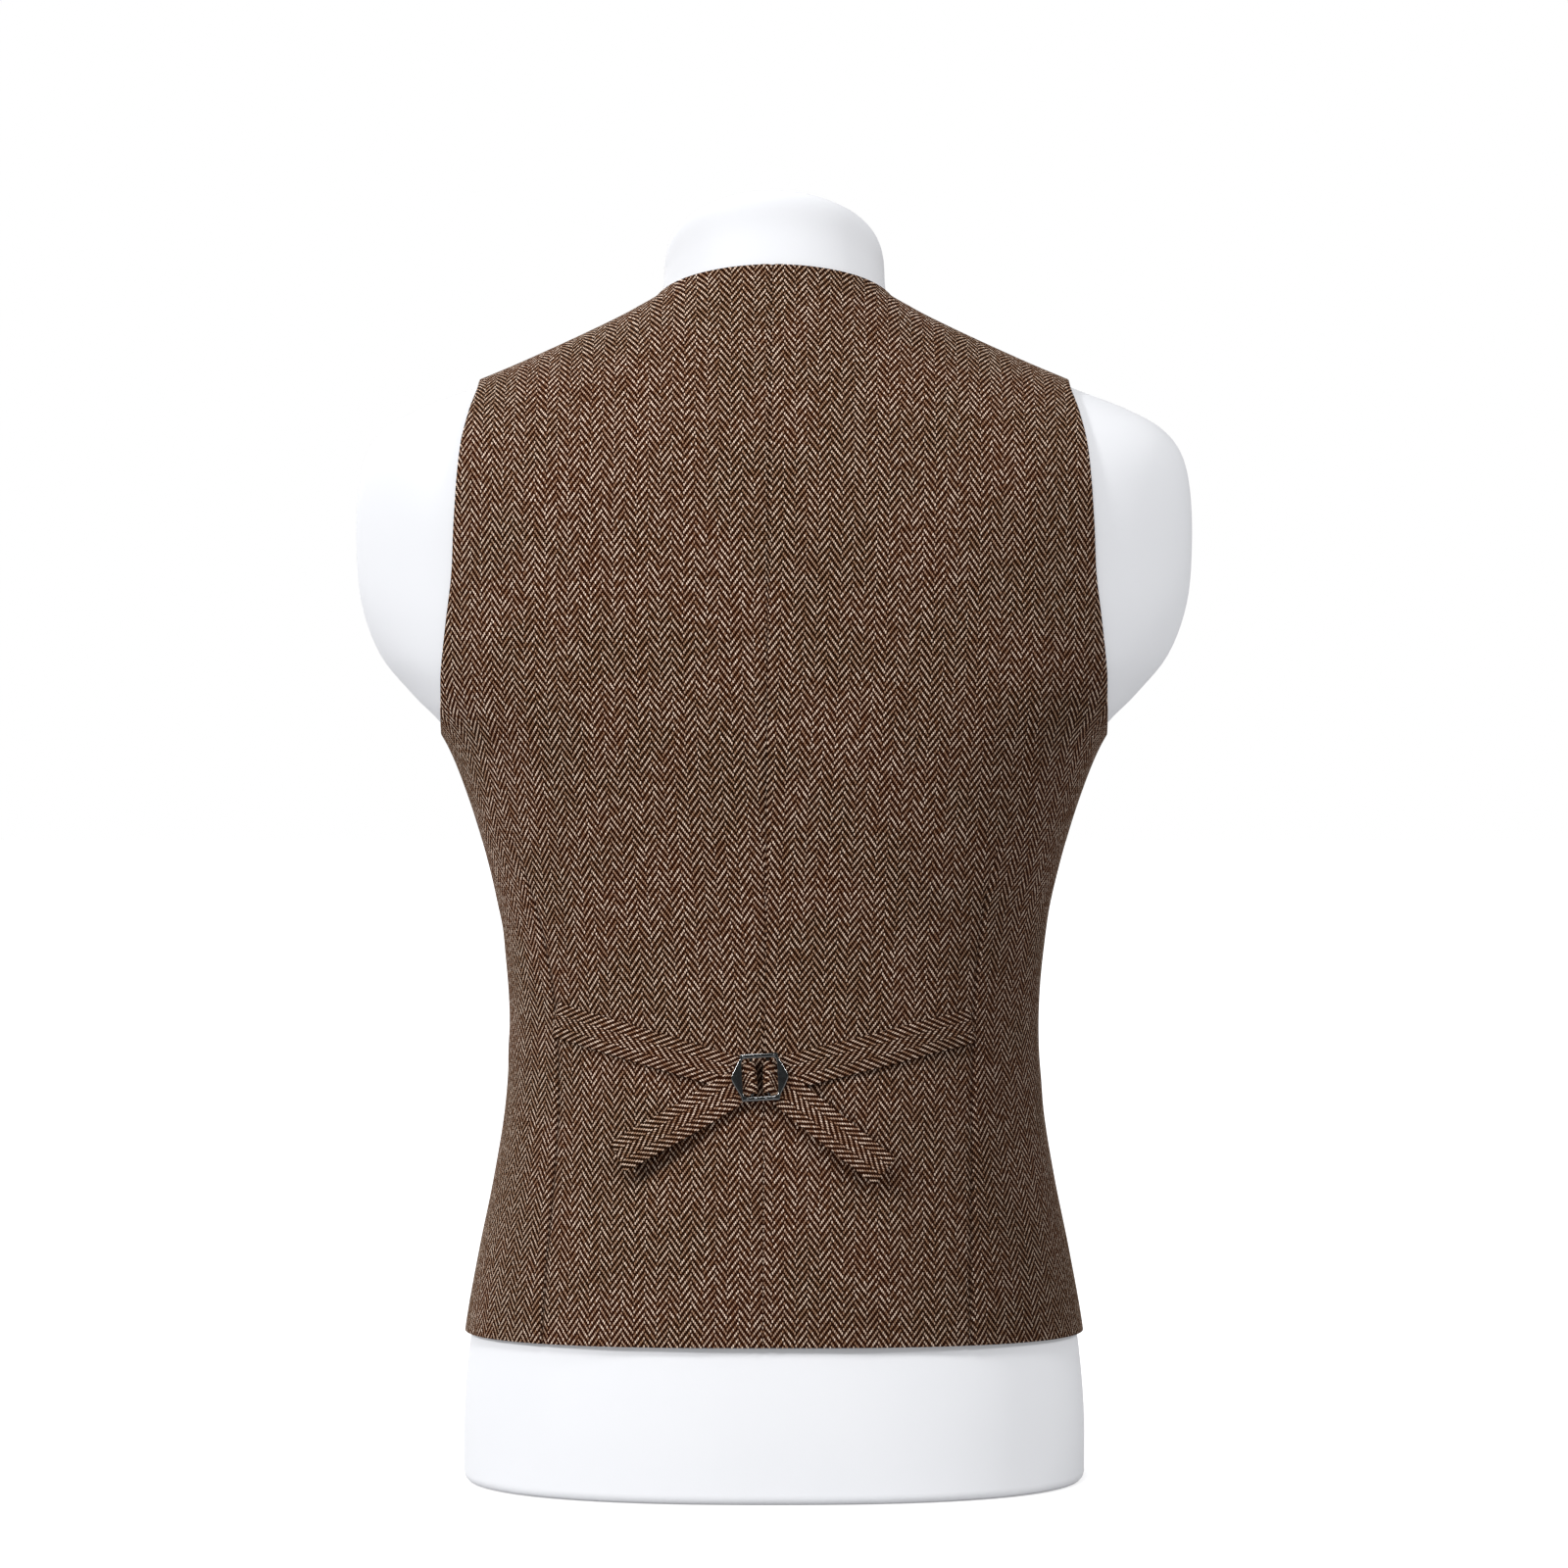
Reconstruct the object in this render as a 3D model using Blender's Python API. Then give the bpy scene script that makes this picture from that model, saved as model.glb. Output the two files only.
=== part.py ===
"""A single-breasted suit waistcoat with a buckled back belt, worn by a limbless dress form.

The front faces -Y, the back faces +Y, and +X is the wearer's left. One table of level
sections gives the form's skin. Every piece of cloth is a sheet laid on that skin, moved out
by the ease between form and cloth, and thickened. A place on the skin is a ring number,
counted up the table, and an angle in degrees round from the centre back towards the left.
"""

import math
from collections import namedtuple

import bmesh
import bpy
from mathutils import Matrix, Vector

# Cloth
CLOTH = 0.0018  # tweed, canvas and turnings together
EASE = 0.0018  # air between the form and the cloth
SEAM_GAP = 0.0003
SHARP_EDGE = 40.0  # faces that meet at more degrees than this show an edge
BACK_COLUMNS = 9  # faces across a panel
FRONT_COLUMNS = 13

# The form's sections: heights at the side, centre back and centre front, then half sizes.
Ring = namedtuple("Ring", "side back front half_width back_depth front_depth fullness")
RINGS = (
    Ring(0.000, 0.000, 0.000, 0.1700, 0.1175, 0.1110, 2.40),
    Ring(0.040, 0.040, 0.040, 0.1698, 0.1180, 0.1110, 2.40),
    Ring(0.081, 0.083, 0.083, 0.1660, 0.1165, 0.1100, 2.40),
    Ring(0.124, 0.124, 0.124, 0.1585, 0.1120, 0.1080, 2.38),
    Ring(0.164, 0.164, 0.164, 0.1504, 0.1052, 0.1060, 2.36),
    Ring(0.204, 0.204, 0.204, 0.1441, 0.0970, 0.1035, 2.34),
    Ring(0.245, 0.245, 0.245, 0.1417, 0.0915, 0.1020, 2.33),
    Ring(0.285, 0.285, 0.285, 0.1440, 0.0895, 0.1035, 2.33),
    Ring(0.328, 0.323, 0.323, 0.1512, 0.0917, 0.1083, 2.33),
    Ring(0.374, 0.358, 0.357, 0.1646, 0.0962, 0.1140, 2.31),
    Ring(0.4085, 0.3850, 0.3830, 0.1795, 0.1003, 0.1178, 2.27),
    Ring(0.4290, 0.4055, 0.4020, 0.1985, 0.1030, 0.1196, 2.20),
    Ring(0.4510, 0.4265, 0.4215, 0.2165, 0.1053, 0.1206, 2.12),
    Ring(0.4790, 0.4490, 0.4425, 0.2268, 0.1070, 0.1208, 2.05),
    Ring(0.510, 0.473, 0.464, 0.2297, 0.1078, 0.1203, 2.00),
    Ring(0.541, 0.497, 0.485, 0.2287, 0.1072, 0.1183, 2.00),
    Ring(0.562, 0.518, 0.504, 0.2235, 0.1055, 0.1150, 2.00),
    Ring(0.5755, 0.5365, 0.5200, 0.2120, 0.1030, 0.1110, 2.00),
    Ring(0.5858, 0.5540, 0.5350, 0.1925, 0.0995, 0.1060, 2.00),
    Ring(0.5950, 0.5710, 0.5495, 0.1675, 0.0950, 0.1000, 2.00),
    Ring(0.6042, 0.5885, 0.5640, 0.1440, 0.0892, 0.0935, 2.00),
    Ring(0.6133, 0.6060, 0.5780, 0.1220, 0.0823, 0.0866, 2.00),
    Ring(0.6222, 0.6235, 0.5910, 0.1003, 0.0745, 0.0796, 2.00),
    Ring(0.6302, 0.6410, 0.6025, 0.0800, 0.0660, 0.0728, 2.02),
    Ring(0.6366, 0.6585, 0.6125, 0.0650, 0.0580, 0.0662, 2.05),
    Ring(0.6500, 0.6780, 0.6240, 0.0612, 0.0540, 0.0605, 2.08),
    Ring(0.6670, 0.6970, 0.6370, 0.0598, 0.0520, 0.0570, 2.10),
    Ring(0.6705, 0.7010, 0.6400, 0.0535, 0.0455, 0.0505, 2.10),
    Ring(0.6720, 0.6980, 0.6460, 0.0320, 0.0275, 0.0310, 2.10),
)
HEM_RING = 2
UNDERARM_RING = 10
TIP_RING = 19.3  # the shoulder's outer end
NECK_RING = 24
DEPTH_SHIFT = 0.0034  # centres the whole object front to back

# Dress form
FORM_COLUMNS = 40
FOOT_ROUND = 0.004

# Panels, in ring numbers and degrees
CENTRE_SEAM = (0.0055, 0.0010)  # its x at the hem and at the neck: it leans a little
SIDE_SEAM = 92.0
ARMHOLE_BACK = 44.0  # how far the armhole reaches round from the side seam
ARMHOLE_FRONT = 41.0
ARMHOLE_FULLNESS = 2.35
ARMHOLE_ROWS = 14
FRONT_EDGE = 187.0
POINT_ANGLE = 160.0
POINT_DROP = 0.95  # rings that the front point hangs below the side hem
POINT_SHARPNESS = 2.2
CUTAWAY_TOP = 3.2
LEVEL_RING = 4  # from here up, the fronts' rows are level
V_FOOT = (-0.018, 0.385)  # x and height of the neckline's lowest point
V_HEAD = (0.0621, 0.646)
OVERLAP_START = 0.065  # the left front starts to rise over the right here
OVERLAP_FULL = 0.036
OVERLAP_GAP = 0.0006  # air between the two fronts, clear of their flat faces

# Back belt and buckle; x and height are at the surface, lift is out from the back panel
BELT_WIDTH = 0.0185
BELT_THICK = 0.0020
BELT_GAP = 0.0006  # clears the flat faces of the panel below
BUCKLE_X = 0.0073
BUCKLE_Z = 0.2240
BUCKLE_TILT = 3.0
BUCKLE_LIFT = 0.0056
BUCKLE_THICK = 0.0015
BUCKLE_QUARTER = (  # x and z from the middle, top to side
    (0.0098, 0.0126),
    (0.0103, 0.0106),
    (0.0116, 0.0078),
    (0.0138, 0.0036),
    (0.0152, 0.0008),
)
WINDOW = (0.0188, 0.0204)
WINDOW_ROUND = 0.0012
BAR_OFFSET = 0.0045  # each hidden bar from the buckle's middle
BAR_RADIUS = 0.0009
POST_REACH = 0.0115  # the bars' ends, up and down from the middle
POST_SIZE = (0.0016, 0.0011)  # across the buckle and along the bar
POST_INSET = 0.0007  # from a bar's end to its post's middle
CUT_MARGIN = 0.0010  # how far a cutter passes through
STRAP_LIFT = BELT_GAP + BELT_THICK / 2
TAIL_LIFT = STRAP_LIFT + BELT_THICK + SEAM_GAP
FOLD_RADIUS = BAR_RADIUS + SEAM_GAP + BELT_THICK / 2
BAR_LIFT = STRAP_LIFT + FOLD_RADIUS
DROP_LENGTH = 0.0052  # the tail comes down to the strap in this distance from the bar
TURN_LENGTH = 0.0160  # and turns from upright to its own slant in this
BELT_GATHER = 0.90  # its share of the full width inside the buckle
STRAP_STEPS = 10
FOLD_STEPS = 6
TAIL_STEPS = 9
TAIL_REST = 0.4  # share of the tail that lies flat before its end lifts

# A belt half: where its strap leaves the dart, and where its tail ends
Belt = namedtuple("Belt", "name side dart_x dart_z tail_x tail_z end_lift")
BELTS = (
    Belt("belt_left", 1, 0.1180, 0.2540, 0.0800, 0.1805, 0.0042),
    Belt("belt_right", -1, -0.1057, 0.2507, -0.0575, 0.1735, 0.0040),
)

# Buttons
BUTTON_HEIGHTS = (0.138, 0.188, 0.238, 0.288, 0.338)
BUTTON_PROFILE = (  # radius, height
    (0.0000, 0.0000),
    (0.0066, 0.0000),
    (0.0075, 0.0009),
    (0.0075, 0.0022),
    (0.0068, 0.0030),
    (0.0058, 0.0028),
    (0.0050, 0.0020),
    (0.0000, 0.0018),
)
BUTTON_STEPS = 16


def clear_scene():
    for thing in list(bpy.data.objects):
        bpy.data.objects.remove(thing, do_unlink=True)


def finish(name, colour, roughness, metallic=0.0):
    material = bpy.data.materials.new(name)
    material.use_nodes = True
    shader = material.node_tree.nodes["Principled BSDF"]
    shader.inputs["Base Color"].default_value = (*colour, 1.0)
    shader.inputs["Roughness"].default_value = roughness
    shader.inputs["Metallic"].default_value = metallic
    return material


def add_object(name, bm, material):
    """Makes a closed bmesh an object with its faces looking out."""
    bmesh.ops.recalc_face_normals(bm, faces=bm.faces)
    if bm.calc_volume(signed=True) < 0:
        bmesh.ops.reverse_faces(bm, faces=bm.faces)
    mesh = bpy.data.meshes.new(name)
    bm.to_mesh(mesh)
    bm.free()
    mesh.shade_smooth()
    mesh.set_sharp_from_angle(angle=math.radians(SHARP_EDGE))
    mesh.materials.append(material)
    thing = bpy.data.objects.new(name, mesh)
    bpy.context.scene.collection.objects.link(thing)
    return thing


def ease_curve(share):
    """0 to 1 with a soft start and end."""
    share = min(max(share, 0.0), 1.0)
    return share * share * (3 - 2 * share)


# ---- the form's skin


def between(a, b, c, d, share):
    """A smooth curve through b and c, with a and d either side of them."""
    return 0.5 * (
        2 * b
        + (c - a) * share
        + (2 * a - 5 * b + 4 * c - d) * share**2
        + (3 * b - a - 3 * c + d) * share**3
    )


def ring_at(number):
    last = len(RINGS) - 1
    below = min(max(int(number), 0), last - 1)
    rows = [RINGS[min(max(k, 0), last)] for k in range(below - 1, below + 3)]
    return Ring(*(between(*column, number - below) for column in zip(*rows)))


def skin(number, angle):
    ring = ring_at(number)
    across = math.sin(math.radians(angle))
    along = math.cos(math.radians(angle))
    power = ring.fullness
    swell = (abs(across) ** power + abs(along) ** power) ** (-1 / power)
    depth = ring.back_depth if along > 0 else ring.front_depth
    tilt = (ring.back - ring.front) / 2
    sag = (ring.back + ring.front) / 2 - ring.side
    return Vector(
        (
            ring.half_width * across * swell,
            DEPTH_SHIFT + depth * along * swell,
            ring.side + tilt * along + sag * along**2,
        )
    )


def outward(number, angle):
    across = skin(number, angle + 1) - skin(number, angle - 1)
    up = skin(number + 0.05, angle) - skin(number - 0.05, angle)
    return up.cross(across).normalized()


def above_skin(number, angle, height):
    return skin(number, angle) + outward(number, angle) * height


def on_cloth(number, angle, lift=0.0):
    """A point at this lift over the outer face of the cloth."""
    return above_skin(number, angle, EASE + CLOTH + lift)


def gap_angle(number, angle):
    """Half a seam's gap, in degrees."""
    per_degree = (skin(number, angle + 0.5) - skin(number, angle - 0.5)).length
    return 0.5 * SEAM_GAP / per_degree


def solve(function, low, high):
    """Where a function that falls from low to high passes zero."""
    for _ in range(40):
        middle = (low + high) / 2
        if function(middle) > 0:
            low = middle
        else:
            high = middle
    return (low + high) / 2


def place_at(x, height, facing=0.0):
    """The ring number and angle of a point given by x and height, on the back or front."""
    angle = facing
    for _ in range(6):
        number = solve(lambda n: height - on_cloth(n, angle).z, HEM_RING - 1, NECK_RING)
        sign = 1 if facing == 0.0 else -1
        angle = solve(
            lambda a: x * sign - on_cloth(number, a).x * sign, facing - 89, facing + 89
        )
    return number, angle


# ---- lofted sheets


def halves(first, last):
    """Ring numbers from first to last, two to a ring."""
    return [first + k / 2 for k in range(2 * (last - first) + 1)]


def sheet(rows, columns, place):
    """A grid of rows by columns faces, each point put at place(ring number, share across)."""
    bm = bmesh.new()
    bmesh.ops.create_grid(bm, x_segments=columns, y_segments=len(rows) - 1, size=1.0)
    for vert in bm.verts:
        row = round((vert.co.y + 1) / 2 * (len(rows) - 1))
        vert.co = place(rows[row], (vert.co.x + 1) / 2)
    return bm


def cloth_panel(name, rows, columns, place, material):
    """A slab whose outer face is at place(ring number, share across, 0) and inner at -CLOTH."""
    bm = sheet(rows, columns, lambda number, share: Vector((share, number, 0)))
    raised = bmesh.ops.extrude_face_region(bm, geom=list(bm.faces))
    inner = [part for part in raised["geom"] if isinstance(part, bmesh.types.BMVert)]
    bmesh.ops.translate(bm, verts=inner, vec=(0, 0, -CLOTH))
    for vert in bm.verts:
        share, number, lift = vert.co
        vert.co = place(number, share, lift)
    add_object(name, bm, material)


def armhole_angle(number, reach):
    """How far the armhole has drawn back from the side seam at a ring."""
    middle = (UNDERARM_RING + TIP_RING) / 2
    half = (TIP_RING - UNDERARM_RING) / 2
    share = min(abs(number - middle) / half, 1.0)
    return reach * (1 - share**ARMHOLE_FULLNESS) ** (1 / ARMHOLE_FULLNESS)


def panel_rows():
    """Ring numbers from the hem to the neck, close together at the armhole's two ends."""
    middle = (UNDERARM_RING + TIP_RING) / 2
    half = (TIP_RING - UNDERARM_RING) / 2
    turns = [math.pi * k / ARMHOLE_ROWS for k in range(1, ARMHOLE_ROWS + 1)]
    beside_armhole = [middle - half * math.cos(turn) for turn in turns]
    return (
        halves(HEM_RING, UNDERARM_RING)
        + beside_armhole
        + halves(math.ceil(TIP_RING), NECK_RING)
    )


def centre_angle(number):
    """Where the centre back seam lies, which leans towards the wearer's left at the hem."""
    share = (number - HEM_RING) / (NECK_RING - HEM_RING)
    x = CENTRE_SEAM[0] + (CENTRE_SEAM[1] - CENTRE_SEAM[0]) * share
    return math.degrees(math.asin(x / ring_at(number).half_width))


def back_panel(side, material):
    def place(number, share, lift):
        outer = SIDE_SEAM - armhole_angle(number, ARMHOLE_BACK)
        start = side * centre_angle(number) + gap_angle(number, 0.0)
        end = outer - gap_angle(number, outer)
        return on_cloth(number, side * (start + share * (end - start)), lift)

    name = "back_left" if side > 0 else "back_right"
    cloth_panel(name, panel_rows(), BACK_COLUMNS, place, material)


def neckline_x(height):
    slope = (V_HEAD[0] - V_FOOT[0]) / (V_HEAD[1] - V_FOOT[1])
    return V_FOOT[0] + slope * (height - V_FOOT[1])


def front_edge_angle(number):
    """The inner edge of a front: the cutaway, the overlap, then the neckline."""
    if number < CUTAWAY_TOP:
        low = HEM_RING - POINT_DROP
        share = ease_curve((number - low) / (CUTAWAY_TOP - low))
        return POINT_ANGLE + (FRONT_EDGE - POINT_ANGLE) * share

    def inside(angle):
        point = skin(number, angle)
        return point.x - neckline_x(point.z)

    return solve(inside, SIDE_SEAM, FRONT_EDGE)


def overlap_lift(x):
    rise = CLOTH + OVERLAP_GAP
    return rise * ease_curve((OVERLAP_START - x) / (OVERLAP_START - OVERLAP_FULL))


def front_panel(side, material):
    def place(number, share, lift):
        if number < LEVEL_RING:
            hem = HEM_RING - POINT_DROP * share**POINT_SHARPNESS
            rise = (number - HEM_RING) / (LEVEL_RING - HEM_RING)
            number = hem + rise * (LEVEL_RING - hem)
        outer = SIDE_SEAM + armhole_angle(number, ARMHOLE_FRONT)
        start = outer + gap_angle(number, outer)
        angle = start + share * (front_edge_angle(number) - start)
        if side > 0:
            lift += overlap_lift(skin(number, angle).x)
        return on_cloth(number, side * angle, lift)

    name = "front_left" if side > 0 else "front_right"
    cloth_panel(name, panel_rows(), FRONT_COLUMNS, place, material)


# ---- dress form


def dress_form(material):
    hollows = (HEM_RING, UNDERARM_RING + 2), (math.floor(TIP_RING) - 1, NECK_RING + 1)
    rows = sorted(set(range(len(RINGS))).union(*(halves(*hollow) for hollow in hollows)))
    bm = sheet(rows, FORM_COLUMNS, lambda number, share: skin(number, 360 * share))
    bmesh.ops.remove_doubles(bm, verts=bm.verts, dist=1e-6)
    rims = [edge for edge in bm.edges if edge.is_boundary]
    bmesh.ops.holes_fill(bm, edges=rims, sides=0)
    foot = [edge for edge in bm.edges if all(vert.co.z < 1e-6 for vert in edge.verts)]
    bmesh.ops.bevel(
        bm,
        geom=foot,
        offset=FOOT_ROUND,
        offset_type="OFFSET",
        segments=2,
        profile=0.5,
        affect="EDGES",
        material=-1,
    )
    add_object("form", bm, material)


# ---- back belt


def belt_stations(belt):
    """Rows of (centre, half width, half thickness): strap, fold round the bar, tail."""
    tilt = Matrix.Rotation(math.radians(BUCKLE_TILT), 3, "Y")
    bar = Vector((BUCKLE_X, 0, BUCKLE_Z)) + tilt @ Vector((belt.side * BAR_OFFSET, 0, 0))
    along_bar = tilt @ Vector((0, 0, 1))
    strap = Vector((belt.dart_x, 0, belt.dart_z)) - bar
    tail = Vector((belt.tail_x, 0, belt.tail_z)) - bar
    stations = []
    for step in range(STRAP_STEPS + 1):
        share = 1 - step / STRAP_STEPS
        turn = ease_curve(share * strap.length / TURN_LENGTH)
        stations.append((strap, share, turn, STRAP_LIFT, 0.0))
    for step in range(1, FOLD_STEPS):
        stations.append((strap, 0.0, 0.0, None, math.pi * step / FOLD_STEPS))
    near = [step * DROP_LENGTH / 3 / tail.length for step in range(3)]
    far = [step / TAIL_STEPS for step in range(1, TAIL_STEPS + 1)]
    for share in near + far:
        drop = ease_curve(share * tail.length / DROP_LENGTH)
        turn = ease_curve(share * tail.length / TURN_LENGTH)
        high = BAR_LIFT + FOLD_RADIUS
        lift = high + (TAIL_LIFT - high) * drop
        curl = ease_curve((share - TAIL_REST) / (1 - TAIL_REST))
        lift += (belt.end_lift - TAIL_LIFT) * curl
        stations.append((tail, share, turn, lift, math.pi))

    rows = []
    for way, share, turn, lift, fold in stations:
        spot = bar + way * share
        if lift is None:
            spot.x -= belt.side * FOLD_RADIUS * math.sin(fold)
            lift = BAR_LIFT - FOLD_RADIUS * math.cos(fold)
        place = place_at(spot.x, spot.z)
        centre = on_cloth(*place, lift)
        out = outward(*place)
        run = way.normalized()
        upright = Vector((-run.z, 0, run.x)) * (1 if run.x > 0 else -1)
        across = along_bar.lerp(upright, turn)
        across = (across - out * across.dot(out)).normalized()
        bar_side = across.cross(out)
        bar_side *= math.copysign(1, bar_side.x * belt.side)
        face = (out * math.cos(fold) + bar_side * math.sin(fold)).normalized()
        width = BELT_WIDTH * (BELT_GATHER + (1 - BELT_GATHER) * turn)
        rows.append((centre, across * width / 2, face * BELT_THICK / 2))
    return rows


def belt_half(belt, material):
    stations = belt_stations(belt)
    bm = bmesh.new()
    loops = []
    for centre, wide, thick in stations:
        corners = (-wide - thick, wide - thick, wide + thick, -wide + thick)
        loops.append([bm.verts.new(centre + corner) for corner in corners])
    for low, high in zip(loops, loops[1:]):
        for k in range(4):
            other = (k + 1) % 4
            bm.faces.new((low[k], low[other], high[other], high[k]))
    bm.faces.new(loops[0])
    bm.faces.new(loops[-1])
    add_object(belt.name, bm, material)


# ---- buckle


def local_prism(points, low, high):
    """An outline of (x, z) pairs made a prism between two lifts."""
    bm = bmesh.new()
    face = bm.faces.new([bm.verts.new((x, low, z)) for x, z in points])
    raised = bmesh.ops.extrude_face_region(bm, geom=[face])
    verts = [part for part in raised["geom"] if isinstance(part, bmesh.types.BMVert)]
    bmesh.ops.translate(bm, verts=verts, vec=(0, high - low, 0))
    return bm


def buckle_outline():
    right = list(BUCKLE_QUARTER) + [(x, -z) for x, z in reversed(BUCKLE_QUARTER)]
    return right + [(-x, -z) for x, z in right]


def buckle(material):
    seat = place_at(BUCKLE_X, BUCKLE_Z)
    out = outward(*seat)
    up = (Vector((0, 0, 1)) - out * out.z).normalized()
    turn = Matrix.Rotation(math.radians(BUCKLE_TILT), 4, "Y")
    axes = Matrix((out.cross(up), out, up)).transposed().to_4x4()
    stand = Matrix.Translation(on_cloth(*seat)) @ axes @ turn

    def piece(name, bm, cutter=False):
        bmesh.ops.transform(bm, matrix=stand, verts=bm.verts)
        thing = add_object(name, bm, material)
        thing.hide_render = cutter
        thing.display_type = "WIRE" if cutter else "TEXTURED"
        return thing

    top = BUCKLE_LIFT + BUCKLE_THICK
    frame = piece("buckle", local_prism(buckle_outline(), BUCKLE_LIFT, top))
    half_x, half_z = WINDOW[0] / 2, WINDOW[1] / 2
    corners = ((half_x, half_z), (half_x, -half_z), (-half_x, -half_z), (-half_x, half_z))
    opening = local_prism(corners, BUCKLE_LIFT - CUT_MARGIN, top + CUT_MARGIN)
    uprights = [edge for edge in opening.edges if edge.verts[0].co.xz == edge.verts[1].co.xz]
    bmesh.ops.bevel(
        opening,
        geom=uprights,
        offset=WINDOW_ROUND,
        offset_type="OFFSET",
        segments=3,
        profile=0.5,
        affect="EDGES",
        material=-1,
    )
    joins = [("window", piece("window_cutter", opening, True), "DIFFERENCE")]
    for side in (-1, 1):
        bar = bmesh.new()
        bmesh.ops.create_cone(
            bar,
            cap_ends=True,
            segments=10,
            radius1=BAR_RADIUS,
            radius2=BAR_RADIUS,
            depth=2 * POST_REACH,
            matrix=Matrix.Translation((side * BAR_OFFSET, BAR_LIFT, 0)),
        )
        joins.append(("bar", piece("bar_tool", bar, True), "UNION"))
        for end in (-1, 1):
            post = bmesh.new()
            reach = (BAR_LIFT, BUCKLE_LIFT + BUCKLE_THICK / 2)
            bmesh.ops.create_cube(post, size=1.0)
            size = (POST_SIZE[0], reach[1] - reach[0], POST_SIZE[1])
            bmesh.ops.scale(post, vec=size, verts=post.verts)
            spot = (side * BAR_OFFSET, sum(reach) / 2, end * (POST_REACH - POST_INSET))
            bmesh.ops.translate(post, vec=spot, verts=post.verts)
            joins.append(("post", piece("post_tool", post, True), "UNION"))
    for name, other, way in joins:
        cut = frame.modifiers.new(name, "BOOLEAN")
        cut.operation = way
        cut.solver = "EXACT"
        cut.object = other


# ---- buttons


def button(number, height, material):
    place = place_at(0.0, height, 180.0)
    seat = on_cloth(*place, overlap_lift(0.0) + SEAM_GAP)
    out = outward(*place)
    bm = bmesh.new()
    verts = [bm.verts.new((radius, 0, high)) for radius, high in BUTTON_PROFILE]
    edges = [bm.edges.new(pair) for pair in zip(verts, verts[1:])]
    bmesh.ops.spin(
        bm,
        geom=verts + edges,
        cent=(0, 0, 0),
        axis=(0, 0, 1),
        angle=math.tau,
        steps=BUTTON_STEPS,
        use_merge=True,
    )
    bmesh.ops.remove_doubles(bm, verts=bm.verts, dist=1e-6)
    turn = out.to_track_quat("Z", "Y").to_matrix().to_4x4()
    bmesh.ops.transform(bm, matrix=Matrix.Translation(seat) @ turn, verts=bm.verts)
    add_object(f"button_{number}", bm, material)


def main():
    clear_scene()
    tweed = finish("tweed", (0.13, 0.07, 0.04), 0.9)
    jersey = finish("white_jersey", (0.86, 0.87, 0.9), 0.7)
    enamel = finish("black_enamel", (0.02, 0.02, 0.025), 0.25, 1.0)
    horn = finish("brown_horn", (0.05, 0.03, 0.02), 0.35)
    dress_form(jersey)
    for side in (1, -1):
        back_panel(side, tweed)
        front_panel(side, tweed)
    for belt in BELTS:
        belt_half(belt, tweed)
    buckle(enamel)
    for number, height in enumerate(BUTTON_HEIGHTS, start=1):
        button(number, height, horn)


main()
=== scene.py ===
"""Finishes the suit waistcoat: herringbone tweed panels, back belt, slide buckle and buttons.

The front faces -Y, the back faces +Y, and +X is the wearer's left. The cloth lies on the dress
form's skin, worked out from the same level sections as the solids. A place on the skin is a
ring number, counted up the table, and an angle in degrees round from the centre back.
"""

import math

import bmesh
import bpy
import numpy as np
from mathutils import Matrix, Vector


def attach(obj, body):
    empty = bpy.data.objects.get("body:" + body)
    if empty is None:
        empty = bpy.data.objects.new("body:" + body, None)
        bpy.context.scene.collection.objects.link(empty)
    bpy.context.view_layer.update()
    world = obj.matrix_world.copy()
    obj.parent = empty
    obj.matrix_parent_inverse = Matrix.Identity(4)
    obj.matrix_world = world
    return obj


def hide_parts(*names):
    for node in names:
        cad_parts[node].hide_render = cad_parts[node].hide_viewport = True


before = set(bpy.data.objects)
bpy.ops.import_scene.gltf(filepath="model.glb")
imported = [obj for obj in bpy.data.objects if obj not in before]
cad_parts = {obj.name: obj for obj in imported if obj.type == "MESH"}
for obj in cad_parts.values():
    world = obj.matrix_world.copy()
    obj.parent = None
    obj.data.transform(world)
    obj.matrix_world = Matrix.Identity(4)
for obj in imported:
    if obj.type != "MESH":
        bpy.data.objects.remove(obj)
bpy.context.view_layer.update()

# Cloth, all in metres
CLOTH = 0.0018
EASE = 0.0018
SEAM_GAP = 0.0003
HAIRLINE = 0.00004  # sewn edges press together this close
EDGE_ROLL = 0.0007

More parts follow.
